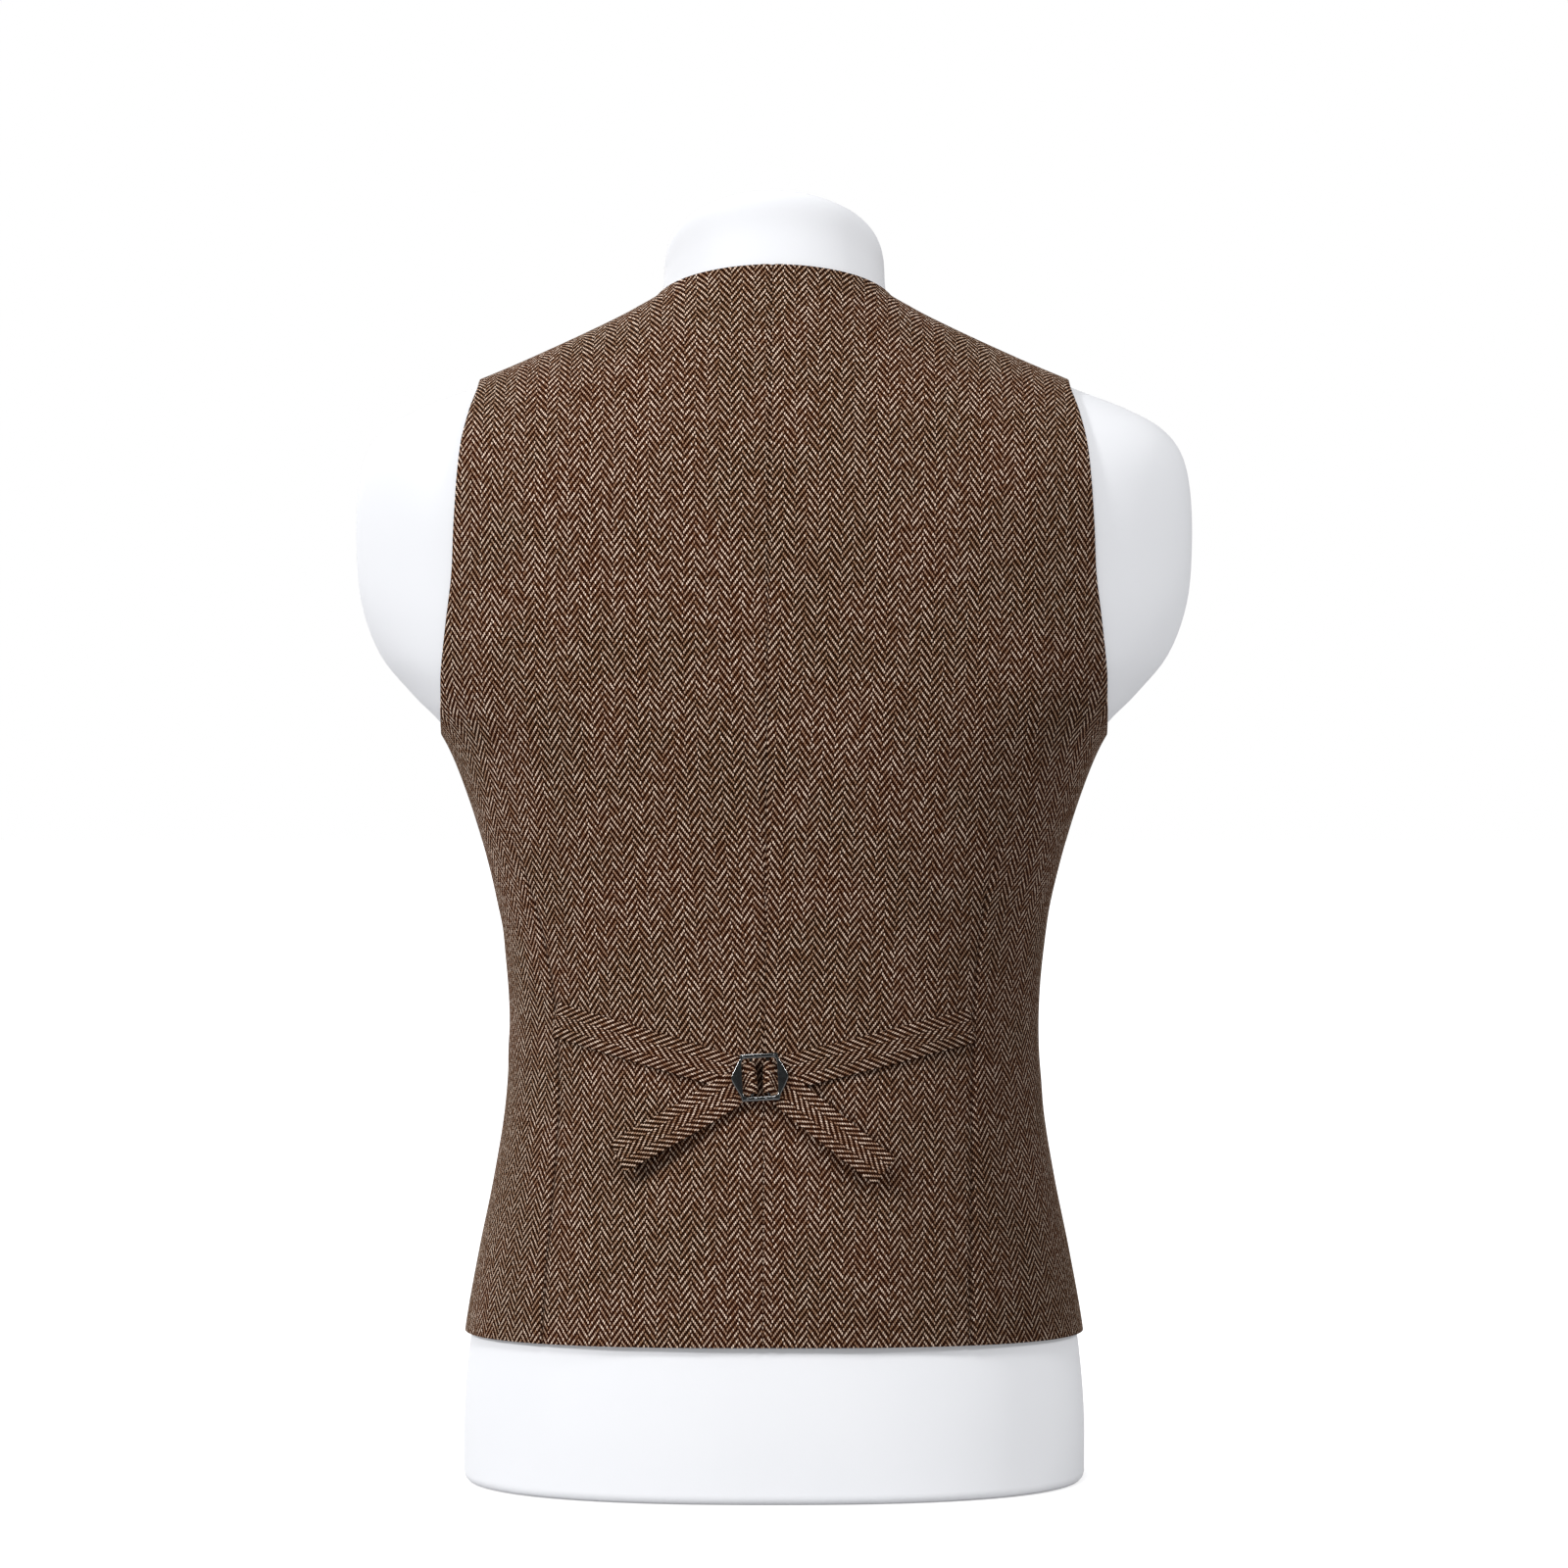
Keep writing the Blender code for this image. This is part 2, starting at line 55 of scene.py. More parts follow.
# The form's level rings, from the foot up: height at the side, centre back and centre front,
# half width, depth of the back and of the front, fullness
RINGS = np.array(
    (
        (0.000, 0.000, 0.000, 0.1700, 0.1175, 0.1110, 2.40),
        (0.040, 0.040, 0.040, 0.1698, 0.1180, 0.1110, 2.40),
        (0.081, 0.083, 0.083, 0.1660, 0.1165, 0.1100, 2.40),
        (0.124, 0.124, 0.124, 0.1585, 0.1120, 0.1080, 2.38),
        (0.164, 0.164, 0.164, 0.1504, 0.1052, 0.1060, 2.36),
        (0.204, 0.204, 0.204, 0.1441, 0.0970, 0.1035, 2.34),
        (0.245, 0.245, 0.245, 0.1417, 0.0915, 0.1020, 2.33),
        (0.285, 0.285, 0.285, 0.1440, 0.0895, 0.1035, 2.33),
        (0.328, 0.323, 0.323, 0.1512, 0.0917, 0.1083, 2.33),
        (0.374, 0.358, 0.357, 0.1646, 0.0962, 0.1140, 2.31),
        (0.4085, 0.3850, 0.3830, 0.1795, 0.1003, 0.1178, 2.27),
        (0.4290, 0.4055, 0.4020, 0.1985, 0.1030, 0.1196, 2.20),
        (0.4510, 0.4265, 0.4215, 0.2165, 0.1053, 0.1206, 2.12),
        (0.4790, 0.4490, 0.4425, 0.2268, 0.1070, 0.1208, 2.05),
        (0.510, 0.473, 0.464, 0.2297, 0.1078, 0.1203, 2.00),
        (0.541, 0.497, 0.485, 0.2287, 0.1072, 0.1183, 2.00),
        (0.562, 0.518, 0.504, 0.2235, 0.1055, 0.1150, 2.00),
        (0.5755, 0.5365, 0.5200, 0.2120, 0.1030, 0.1110, 2.00),
        (0.5858, 0.5540, 0.5350, 0.1925, 0.0995, 0.1060, 2.00),
        (0.5950, 0.5710, 0.5495, 0.1675, 0.0950, 0.1000, 2.00),
        (0.6042, 0.5885, 0.5640, 0.1440, 0.0892, 0.0935, 2.00),
        (0.6133, 0.6060, 0.5780, 0.1220, 0.0823, 0.0866, 2.00),
        (0.6222, 0.6235, 0.5910, 0.1003, 0.0745, 0.0796, 2.00),
        (0.6302, 0.6410, 0.6025, 0.0800, 0.0660, 0.0728, 2.02),
        (0.6366, 0.6585, 0.6125, 0.0650, 0.0580, 0.0662, 2.05),
        (0.6500, 0.6780, 0.6240, 0.0612, 0.0540, 0.0605, 2.08),
        (0.6670, 0.6970, 0.6370, 0.0598, 0.0520, 0.0570, 2.10),
        (0.6705, 0.7010, 0.6400, 0.0535, 0.0455, 0.0505, 2.10),
        (0.6720, 0.6980, 0.6460, 0.0320, 0.0275, 0.0310, 2.10),
    )
)
DEPTH_SHIFT = 0.0034
CROWN_RING = 26  # where the neck's top turns inwards
FORM_COLUMNS = 144
FOOT_ROUND = 0.004

# The cut of the panels, in ring numbers and degrees
HEM_RING = 2
CHEST_RING = 12
UNDERARM_RING = 10
TIP_RING = 19.3
NECK_RING = 24
CENTRE_SEAM = (0.0055, 0.0010)  # x at the hem and at the neck
SIDE_SEAM = 92.0
ARMHOLE_BACK = 44.0
ARMHOLE_FRONT = 41.0
ARMHOLE_FULLNESS = 2.35
ARMHOLE_MIDDLE = (UNDERARM_RING + TIP_RING) / 2
ARMHOLE_HALF = (TIP_RING - UNDERARM_RING) / 2
FRONT_EDGE = 187.0
POINT_ANGLE = 160.0
POINT_DROP = 0.95
POINT_SHARPNESS = 2.2
CUTAWAY_TOP = 3.2
LEVEL_RING = 4  # the front's rows are level from here up
V_FOOT = (-0.018, 0.385)
V_HEAD = (0.0621, 0.646)
OVERLAP_START = 0.065
OVERLAP_FULL = 0.036
OVERLAP_RISE = CLOTH + 0.0006

# Mesh of the panels: rows below, beside and above the armhole, and columns
ROWS_BELOW = 84
ROWS_BESIDE = 100
ROWS_ABOVE = 44
BACK_COLUMNS = 96
DART_COLUMN = 62
FRONT_COLUMNS = 110

# Darts: heights, and how far out each one runs there
DART_HEIGHTS = (0.087, 0.135, 0.182, 0.224, 0.255, 0.281, 0.307, 0.338, 0.366)
DART_LEFT = (0.1235, 0.1200, 0.1172, 0.1163, 0.1168, 0.1205, 0.1277, 0.1365, 0.1480)
DART_RIGHT = (0.1042, 0.1048, 0.1054, 0.1057, 0.1066, 0.1090, 0.1122, 0.1175, 0.1290)
DART_TOP = (7.6, 8.8)  # rings over which the dart closes
DART_TAKE = 0.0130  # cloth taken in at the waist
DART_REACH = 0.10  # and how far above and below it the dart takes cloth in
WAIST_HEIGHT = 0.245
CENTRE_TAKE = {1: (0.0128, 0.46), -1: (0.0107, 0.56)}  # taken in low down, from this height
CENTRE_TAKEN = 0.18  # and fully taken in below this one
WEAVE_START = {1: -0.0008, -1: 0.0036}  # where each half's stripes begin at the neck

# Sewn lines: how far the cloth sinks there, and the hollow's half width
DART_SINK = (0.0009, 0.0013)
CENTRE_SINK = (0.0008, 0.0012)
SIDE_SINK = (0.0006, 0.0014)
FRONT_EDGE_SINK = (0.0004, 0.0016)
# The swell beside a sewn line: its height, its half width and how far off it lies
DART_SWELL = (0.0004, 0.0030, 0.0045)
CENTRE_SWELL = (0.0003, 0.0028, 0.0042)
# How dark a sewn line is, and its half width
DART_DARK = (0.68, 0.0006)
CENTRE_DARK = (0.20, 0.0004)
SIDE_DARK = (0.55, 0.0005)
# The painted shadow on the cloth behind the buckle: how deep, half width and half height
PAINTED_SHADOW_BEHIND_BUCKLE = (0.9, 0.0040, 0.0100)

# Weave: a two-and-two herringbone, eight ends to a stripe
END_PITCH = 0.00078
PICK_PITCH = 0.00105
STRIPE_ENDS = 8
STRIPE = END_PITCH * STRIPE_ENDS

# Back belt
BELT_WIDTH = 0.0185
BELT_THICK = 0.0020
BELT_GAP = 0.0006
BUCKLE_X = 0.0073
BUCKLE_Z = 0.2240
BUCKLE_TILT = 3.0
BUCKLE_LIFT = 0.0056
BUCKLE_THICK = 0.0015
BUCKLE_ROUND = 0.00062
BAR_OFFSET = 0.0045
BAR_RADIUS = 0.0009
POST_REACH = 0.0115
STRAP_LIFT = BELT_GAP + BELT_THICK / 2  # lifts are to the strap's middle
TAIL_LIFT = STRAP_LIFT + BELT_THICK + SEAM_GAP
FOLD_RADIUS = BAR_RADIUS + SEAM_GAP + BELT_THICK / 2
BAR_LIFT = STRAP_LIFT + FOLD_RADIUS
DROP_LENGTH = 0.0052
TURN_LENGTH = 0.0160
BELT_GATHER = 0.90  # share of its width that the belt keeps in the buckle
BELT_AROUND = 48
STRAP_ROWS = 84
FOLD_ROWS = 20
TAIL_ROWS = 66
STRAP_WAVE = 0.00018
STRAP_SINK = (0.985, 0.0016)  # share of the strap where its end goes into the dart, and how deep
TAIL_REST = 0.22  # share of the tail that lies flat
TAIL_CORNER = 0.0014
FOLD_PART = 0.0006  # how far the folds lean apart in the buckle's window

BUTTON_HEIGHTS = (0.138, 0.188, 0.238, 0.288, 0.338)
TOUCHING = 1e-6  # points this close are one point
SHARP = math.radians(50)


# ---- the form's skin


def ease_curve(share):
    share = np.clip(share, 0.0, 1.0)
    return share * share * (3 - 2 * share)


def ring_at(number):
    """The seven measures of the ring with this number, smooth between the table's rings."""
    number = np.asarray(number, float)
    last = len(RINGS) - 1
    below = np.clip(number.astype(int), 0, last - 1)
    a, b, c, d = (RINGS[np.clip(below + k, 0, last)] for k in (-1, 0, 1, 2))
    share = (number - below)[..., None]
    return 0.5 * (
        2 * b
        + (c - a) * share
        + (2 * a - 5 * b + 4 * c - d) * share**2
        + (3 * b - a - 3 * c + d) * share**3
    )


def skin(number, angle):
    """A point on the form for each ring number and angle."""
    side, back, front, half_width, back_depth, front_depth, power = np.moveaxis(
        ring_at(number), -1, 0
    )
    across = np.sin(np.radians(angle))
    along = np.cos(np.radians(angle))
    swell = (abs(across) ** power + abs(along) ** power) ** (-1 / power)
    depth = np.where(along > 0, back_depth, front_depth)
    level = side + (back - front) / 2 * along + ((back + front) / 2 - side) * along**2
    return np.stack(
        np.broadcast_arrays(
            half_width * across * swell, DEPTH_SHIFT + depth * along * swell, level
        ),
        -1,
    )


def outward(number, angle):
    across = skin(number, angle + 1) - skin(number, angle - 1)
    up = skin(number + 0.05, angle) - skin(number - 0.05, angle)
    out = np.cross(up, across)
    return out / np.linalg.norm(out, axis=-1, keepdims=True)


def on_cloth(number, angle, lift=0.0):
    """A point on the cloth's face, or lifted off it."""
    height = np.asarray(EASE + CLOTH + lift)[..., None]
    return skin(number, angle) + outward(number, angle) * height


def solve(function, low, high):
    """Where a function that falls from low to high passes zero, for whole arrays at once."""
    low, high = np.broadcast_arrays(low, high)
    for _ in range(34):
        middle = (low + high) / 2
        rising = function(middle) > 0
        low = np.where(rising, middle, low)
        high = np.where(rising, high, middle)
    return (low + high) / 2


def place_at(x, height, facing=0.0):
    """The ring number and angle of a point given by x and height, on the back or front."""
    x, height = np.broadcast_arrays(np.asarray(x, float), np.asarray(height, float))
    angle = np.full(x.shape, facing)
    sign = 1 if facing == 0.0 else -1
    for _ in range(5):
        number = solve(
            lambda n: height - on_cloth(n, angle)[..., 2],
            np.full(x.shape, HEM_RING - 1.0),
            np.full(x.shape, float(NECK_RING)),
        )
        angle = solve(
            lambda a: (x - on_cloth(number, a)[..., 0]) * sign,
            np.full(x.shape, facing - 89),
            np.full(x.shape, facing + 89),
        )
    return number, angle


def armhole_angle(number, reach):
    """How far the armhole cuts in from the side seam, in degrees."""
    share = np.minimum(abs(number - ARMHOLE_MIDDLE) / ARMHOLE_HALF, 1.0)
    return reach * (1 - share**ARMHOLE_FULLNESS) ** (1 / ARMHOLE_FULLNESS)


def gap_angle(number, angle):
    """Half of the hairline between two panels, in degrees."""
    per_degree = np.linalg.norm(skin(number, angle + 0.5) - skin(number, angle - 0.5), axis=-1)
    return 0.5 * HAIRLINE / per_degree


def near(distance, width):
    """1 on a line, falling softly to 0 over about twice the width."""
    return np.exp(-((distance / width) ** 2))


def squared(value, power):
    """A sine or cosine drawn towards 1 or -1, which squares a circle up."""
    return math.copysign(abs(value) ** power, value)


def line(distance, size_and_width):
    """A sewn line's sinking, swell or shade."""
    size, width = size_and_width
    return size * near(distance, width)


# ---- objects and materials


def add_piece(name, bm, material, replaced=()):
    """Makes a finished piece that stands for the CAD nodes named."""
    bmesh.ops.recalc_face_normals(bm, faces=bm.faces)
    if bm.calc_volume(signed=True) < 0:
        bmesh.ops.reverse_faces(bm, faces=bm.faces)
    mesh = bpy.data.meshes.new(name)
    bm.to_mesh(mesh)
    bm.free()
    mesh.shade_smooth()
    mesh.materials.append(material)
    piece = bpy.data.objects.new(name, mesh)
    bpy.context.scene.collection.objects.link(piece)
    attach(piece, "root")
    if replaced:
        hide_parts(*replaced)
    return piece


def round_edges(piece):
    bevel = piece.modifiers.new("rounded edges", "BEVEL")
    bevel.width = EDGE_ROLL
    bevel.segments = 2
    bevel.limit_method = "ANGLE"
    bevel.angle_limit = SHARP
    bevel.harden_normals = False


def blank(name):
    material = bpy.data.materials.new(name)
    material.use_nodes = True
    tree = material.node_tree
    return material, tree, tree.nodes["Principled BSDF"]


def wire(tree, value, socket):
    if isinstance(value, bpy.types.NodeSocket):
        tree.links.new(value, socket)
    else:
        socket.default_value = value


def maths(tree, operation, *values):
    node = tree.nodes.new("ShaderNodeMath")
    node.operation = operation
    for value, socket in zip(values, node.inputs):
        wire(tree, value, socket)
    return node.outputs[0]


def blend(tree, share, low, high):
    """A colour mix; low and high are colours or sockets."""
    node = tree.nodes.new("ShaderNodeMix")
    node.data_type = "RGBA"
    wire(tree, share, node.inputs[0])
    for value, socket in zip((low, high), node.inputs[6:8]):
        wire(tree, value if isinstance(value, bpy.types.NodeSocket) else (*value, 1), socket)
    return node.outputs[2]


def spread(tree, value, low, high, new_low=0.0, new_high=1.0, smooth=False):
    """A value between low and high, brought to between new_low and new_high."""
    node = tree.nodes.new("ShaderNodeMapRange")
    node.interpolation_type = "SMOOTHSTEP" if smooth else "LINEAR"
    for item, socket in zip((value, low, high, new_low, new_high), node.inputs):
        wire(tree, item, socket)
    return node.outputs[0]


def noise(tree, vector, scale, detail=2.0, stretch=None):
    if stretch:
        mapping = tree.nodes.new("ShaderNodeMapping")
        mapping.inputs["Scale"].default_value = stretch
        tree.links.new(vector, mapping.inputs["Vector"])
        vector = mapping.outputs[0]
    node = tree.nodes.new("ShaderNodeTexNoise")
    node.inputs["Scale"].default_value = scale
    node.inputs["Detail"].default_value = detail
    tree.links.new(vector, node.inputs["Vector"])
    return node.outputs["Fac"]


def bump(tree, shader, height, strength, distance):
    node = tree.nodes.new("ShaderNodeBump")
    node.inputs["Strength"].default_value = strength
    node.inputs["Distance"].default_value = distance
    tree.links.new(height, node.inputs["Height"])
    tree.links.new(node.outputs[0], shader.inputs["Normal"])


def object_place(tree):
    return tree.nodes.new("ShaderNodeTexCoord").outputs["Object"]


def across_yarn(tree, value):
    """From -1 to 1 over each yarn."""
    return maths(tree, "SUBTRACT", maths(tree, "MULTIPLY", maths(tree, "FRACT", value), 2.0), 1.0)


def yarn_round(tree, value):
    """0 at a yarn's sides and 1 along its middle."""
    side = across_yarn(tree, value)
    return maths(tree, "SUBTRACT", 1.0, maths(tree, "MULTIPLY", side, side))


def tweed():
    material, tree, shader = blank("herringbone_tweed")
    layout = tree.nodes.new("ShaderNodeUVMap")
    layout.uv_map = "weave"
    flat = tree.nodes.new("ShaderNodeSeparateXYZ")
    tree.links.new(layout.outputs[0], flat.inputs[0])
    where = object_place(tree)

    # Which yarn is on top: light warp over two picks and under two, turned at each stripe
    slub = noise(tree, where, 260.0, 3.0)
    end = maths(tree, "DIVIDE", flat.outputs[0], END_PITCH)
    end = maths(tree, "ADD", end, spread(tree, slub, 0.0, 1.0, -0.25, 0.25))
    pick = maths(tree, "DIVIDE", flat.outputs[1], PICK_PITCH)
    pick = maths(tree, "ADD", pick, spread(tree, slub, 0.0, 1.0, 0.4, -0.4))
    end_number = maths(tree, "ADD", maths(tree, "FLOOR", end), 0.5)
    zigzag = maths(tree, "PINGPONG", end_number, float(STRIPE_ENDS))
    stripe = maths(tree, "FRACT", maths(tree, "DIVIDE", end_number, 2.0 * STRIPE_ENDS))
    turned = maths(tree, "MULTIPLY", maths(tree, "GREATER_THAN", stripe, 0.5), 2.0)
    floats = maths(tree, "ADD", maths(tree, "ADD", pick, zigzag), turned)
    floats = maths(tree, "DIVIDE", floats, 4.0)
    swing = maths(tree, "ABSOLUTE", across_yarn(tree, floats))
    raised = spread(tree, swing, 0.60, 0.76, smooth=True)
    end_round = spread(tree, yarn_round(tree, end), 0.0, 0.8, 0.40, 1.0)
    warp_shape = maths(tree, "MULTIPLY", raised, end_round)

    # Every float has its own tone, with a few bright ones
    cell = tree.nodes.new("ShaderNodeCombineXYZ")
    wire(tree, end_number, cell.inputs[0])
    wire(tree, maths(tree, "FLOOR", maths(tree, "ADD", floats, 0.5)), cell.inputs[1])
    lot = tree.nodes.new("ShaderNodeTexWhiteNoise")
    lot.noise_dimensions = "2D"
    tree.links.new(cell.outputs[0], lot.inputs["Vector"])
    fleck = maths(tree, "POWER", lot.outputs["Value"], 1.6)
    patches = noise(tree, where, 24.0, 3.0)
    tone = noise(tree, where, 700.0, 2.0, stretch=(1.0, 1.0, 0.5))
    warmth = spread(tree, patches, 0.36, 0.64, smooth=True)
    dark = blend(tree, warmth, (0.020, 0.004, 0.001), (0.013, 0.004, 0.001))
    dark = blend(tree, spread(tree, tone, 0.45, 0.85), dark, (0.036, 0.011, 0.004))
    light = blend(tree, fleck, (0.310, 0.167, 0.098), (0.935, 0.726, 0.580))
    warmth = spread(tree, warmth, 0.0, 1.0, 0.0, 0.20)
    light = blend(tree, warmth, light, (0.415, 0.290, 0.178))
    colour = blend(tree, warp_shape, dark, light)
    # The attribute read here darkens the cloth towards near black: dark sewn lines, plus painted
    # shade low down and on the wearer's right, and painted shadows behind the buckle and beside
    # the tails
    seam_and_painted_shade = tree.nodes.new("ShaderNodeAttribute")
    seam_and_painted_shade.attribute_name = "seam_and_painted_shade"
    colour = blend(tree, seam_and_painted_shade.outputs["Fac"], colour, (0.012, 0.006, 0.004))
    tree.links.new(colour, shader.inputs["Base Color"])

    pick_round = maths(tree, "MULTIPLY", yarn_round(tree, pick), 0.25)
    height = maths(tree, "ADD", warp_shape, pick_round)
    height = maths(tree, "ADD", height, maths(tree, "MULTIPLY", tone, 0.5))
    bump(tree, shader, height, 0.7, 0.00055)
    tree.links.new(spread(tree, tone, 0.0, 1.0, 0.75, 0.98), shader.inputs["Roughness"])
    shader.inputs["Sheen Weight"].default_value = 0.02
    shader.inputs["Sheen Roughness"].default_value = 0.35
    shader.inputs["Sheen Tint"].default_value = (0.80, 0.66, 0.55, 1.0)
    shader.inputs["Specular IOR Level"].default_value = 0.01
    return material


def jersey():
    material, tree, shader = blank("white_form_jersey")
    where = object_place(tree)
    haze = noise(tree, where, 9.0, 3.0)
    knit = noise(tree, where, 1300.0, 2.0, stretch=(1.0, 1.0, 0.6))
    haze = spread(tree, haze, 0.3, 0.7)
    colour = blend(tree, haze, (0.718, 0.727, 0.752), (0.737, 0.745, 0.768))
    tree.links.new(colour, shader.inputs["Base Color"])
    tree.links.new(spread(tree, knit, 0.3, 0.7, 0.62, 0.74), shader.inputs["Roughness"])
    shader.inputs["Specular IOR Level"].default_value = 0.25
    bump(tree, shader, knit, 0.12, 0.0002)
    return material


def enamel():
    material, tree, shader = blank("black_enamel")
    where = object_place(tree)
    cloud = noise(tree, where, 420.0, 3.0)
    share = spread(tree, cloud, 0.35, 0.65)
    colour = blend(tree, share, (0.002, 0.002, 0.002), (0.006, 0.008, 0.008))
    tree.links.new(colour, shader.inputs["Base Color"])
    tree.links.new(spread(tree, cloud, 0.3, 0.7, 0.16, 0.30), shader.inputs["Roughness"])
    shader.inputs["Coat Weight"].default_value = 1.0
    shader.inputs["Coat Roughness"].default_value = 0.18
    shader.inputs["Coat IOR"].default_value = 2.4
    shader.inputs["Specular IOR Level"].default_value = 0.05
    bump(tree, shader, cloud, 0.10, 0.0001)
    return material


def horn():
    material, tree, shader = blank("brown_horn")
    where = object_place(tree)
    streak = noise(tree, where, 210.0, 4.0, stretch=(1.0, 1.0, 0.25))
    fleck = noise(tree, where, 900.0, 2.0)
    streak = spread(tree, streak, 0.36, 0.64)
    colour = blend(tree, streak, (0.020, 0.010, 0.006), (0.130, 0.065, 0.032))
    tree.links.new(colour, shader.inputs["Base Color"])
    tree.links.new(spread(tree, fleck, 0.3, 0.7, 0.26, 0.42), shader.inputs["Roughness"])
    bump(tree, shader, fleck, 0.08, 0.0001)
    return material


def thread():
    material, tree, shader = blank("brown_thread")
    where = object_place(tree)
    ply = noise(tree, where, 2600.0, 2.0)
    share = spread(tree, ply, 0.35, 0.65)
    colour = blend(tree, share, (0.022, 0.011, 0.007), (0.070, 0.038, 0.024))
    tree.links.new(colour, shader.inputs["Base Color"])
    tree.links.new(spread(tree, ply, 0.3, 0.7, 0.55, 0.75), shader.inputs["Roughness"])
    bump(tree, shader, ply, 0.4, 0.0001)
    return material


def floor_paint():
    material, tree, shader = blank("pale_floor")
    cloud = noise(tree, object_place(tree), 3.0, 3.0)
    colour = blend(tree, cloud, (0.52, 0.52, 0.53), (0.54, 0.54, 0.545))
    tree.links.new(colour, shader.inputs["Base Color"])
    tree.links.new(spread(tree, cloud, 0.3, 0.7, 0.85, 0.95), shader.inputs["Roughness"])
    shader.inputs["Specular IOR Level"].default_value = 0.1
    # A faint glow that lights nothing keeps the ground white
    ray = tree.nodes.new("ShaderNodeLightPath").outputs["Is Camera Ray"]
    shader.inputs["Emission Color"].default_value = (1.0, 1.0, 1.0, 1.0)
    tree.links.new(spread(tree, ray, 0.0, 1.0, 0.0, 0.62), shader.inputs["Emission Strength"])
    return material


# ---- cloth panels


def crowded(count):
    """Shares from 0 to 1, closer together at both ends."""
    share = np.linspace(0.0, 1.0, count + 1)
    return 0.55 * share + 0.45 * (1 - np.cos(math.pi * share)) / 2


def panel_rows():
    """Ring numbers from hem to neck, closer together at the armhole's two ends."""
    below = HEM_RING + (UNDERARM_RING - HEM_RING) * crowded(ROWS_BELOW)
    turns = math.pi * np.arange(1, ROWS_BESIDE) / ROWS_BESIDE
    beside = ARMHOLE_MIDDLE - ARMHOLE_HALF * np.cos(turns)
    above = TIP_RING + (NECK_RING - TIP_RING) * crowded(ROWS_ABOVE)
    return np.concatenate((below, beside, above))


def gathered(steps, axis):
    """Running totals along one axis, starting from nothing."""
    total = np.cumsum(steps, axis=axis)
    return np.concatenate((np.zeros_like(np.take(total, [0], axis)), total), axis)


def round_body(points):
    """How far round each point lies from its row's first."""
    step = np.diff(points, axis=1)
    return gathered(np.hypot(step[..., 0], step[..., 1]), 1)


def grain(number, angle, points, facing):
    """The weave's own place for each point: out from the centre line, and up the cloth.
    Above the chest the grain runs straight up over the blades, bust and shoulders."""
    reach = np.linspace(0.0, 0.20, 81)
    apart = 0.1
    numbers = np.arange(CHEST_RING, NECK_RING + 1.05, apart)
    low, high = (0.0, 91.0) if facing == 0.0 else (91.0, 180.0)
    sign = 1 if facing == 0.0 else -1
    shape = (len(numbers), len(reach))
    ring = np.broadcast_to(numbers[:, None], shape)
    turn = solve(
        lambda a: (reach - skin(ring, a)[..., 0]) * sign,
        np.full(shape, low),
        np.full(shape, high),
    )
    slope = skin(ring, turn)
    step = np.diff(slope, axis=0)
    climb = slope[0, :, 2] + gathered(np.hypot(step[..., 1], step[..., 2]), 0)
    round_chest = gathered(np.hypot(np.diff(reach), np.diff(slope[0, :, 1])), 0)

    # Each point measures up from the last row below it where both its columns still exist
    inside = reach <= 0.995 * ring_at(numbers)[:, 3:4]
    highest = len(numbers) - 1 - np.argmax(inside[::-1], axis=0)
    bare = skin(number, angle)
    column = np.clip(abs(bare[..., 0]) / reach[1], 0, len(reach) - 1.001)
    row = np.clip((number - CHEST_RING) / apart, 0, len(numbers) - 1.001)
    c = column.astype(int)
    r = np.minimum(row.astype(int), highest[c + 1])
    share = (column - c)[..., None]
    base = slope[r, c] * (1 - share) + slope[r, c + 1] * share
    climbed = climb[r, c] * (1 - share[..., 0]) + climb[r, c + 1] * share[..., 0]
    climbed = climbed + np.hypot(bare[..., 1] - base[..., 1], bare[..., 2] - base[..., 2])
    rise = np.where(number > CHEST_RING, climbed, points[..., 2])
    wide = np.interp(abs(points[..., 0]), reach, round_chest)
    return wide * np.sign(points[..., 0]), rise


def above_chest(number):
    """0 below the chest and 1 above it, where the grain runs straight up."""
    return ease_curve((number - CHEST_RING + 2) / 3)


def cloth_panel(name, number, angle, lift, wide, high, seam_and_painted_shade, split, take, material, replaced):
    """A wall of cloth on a grid of places. wide and high lay the weave out; past the split
    column the cloth taken up in the dart is added to wide."""
    rows, columns = number.shape
    outer = on_cloth(number, angle, lift)
    inner = outer - outward(number, angle) * CLOTH
    bm = bmesh.new()
    bmesh.ops.create_grid(bm, x_segments=columns - 1, y_segments=rows - 1, size=1.0)
    raised = bmesh.ops.extrude_face_region(bm, geom=list(bm.faces))
    under = [part for part in raised["geom"] if isinstance(part, bmesh.types.BMVert)]
    bmesh.ops.translate(bm, verts=under, vec=(0, 0, -1))
    weave = bm.loops.layers.uv.new("weave")
    # Per-point darkening of the cloth: dark sewn lines, and painted shade and shadows
    shade = bm.verts.layers.float.new("seam_and_painted_shade")
    spots = {}
    for vert in bm.verts:
        row = round((vert.co.y + 1) / 2 * (rows - 1))
        column = round((vert.co.x + 1) / 2 * (columns - 1))
        spots[vert] = (row, column)
        vert.co = (outer if vert.co.z > -0.5 else inner)[row, column]
        vert[shade] = seam_and_painted_shade[row, column]
    for face in bm.faces:
        beyond = sum(spots[vert][1] for vert in face.verts) / len(face.verts) > split
        for loop in face.loops:
            row, column = spots[loop.vert]
            loop[weave].uv = (wide[row, column] + beyond * take[row], high[row, column])
    piece = add_piece(name, bm, material, (replaced,))
    round_edges(piece)
    return piece


def centre_x(number):
    """Where the centre back seam lies, which leans towards the wearer's left at the hem."""
    share = (number - HEM_RING) / (NECK_RING - HEM_RING)
    return CENTRE_SEAM[0] + (CENTRE_SEAM[1] - CENTRE_SEAM[0]) * share


def centre_angle(number):
    return np.degrees(np.arcsin(centre_x(number) / ring_at(number)[..., 3]))


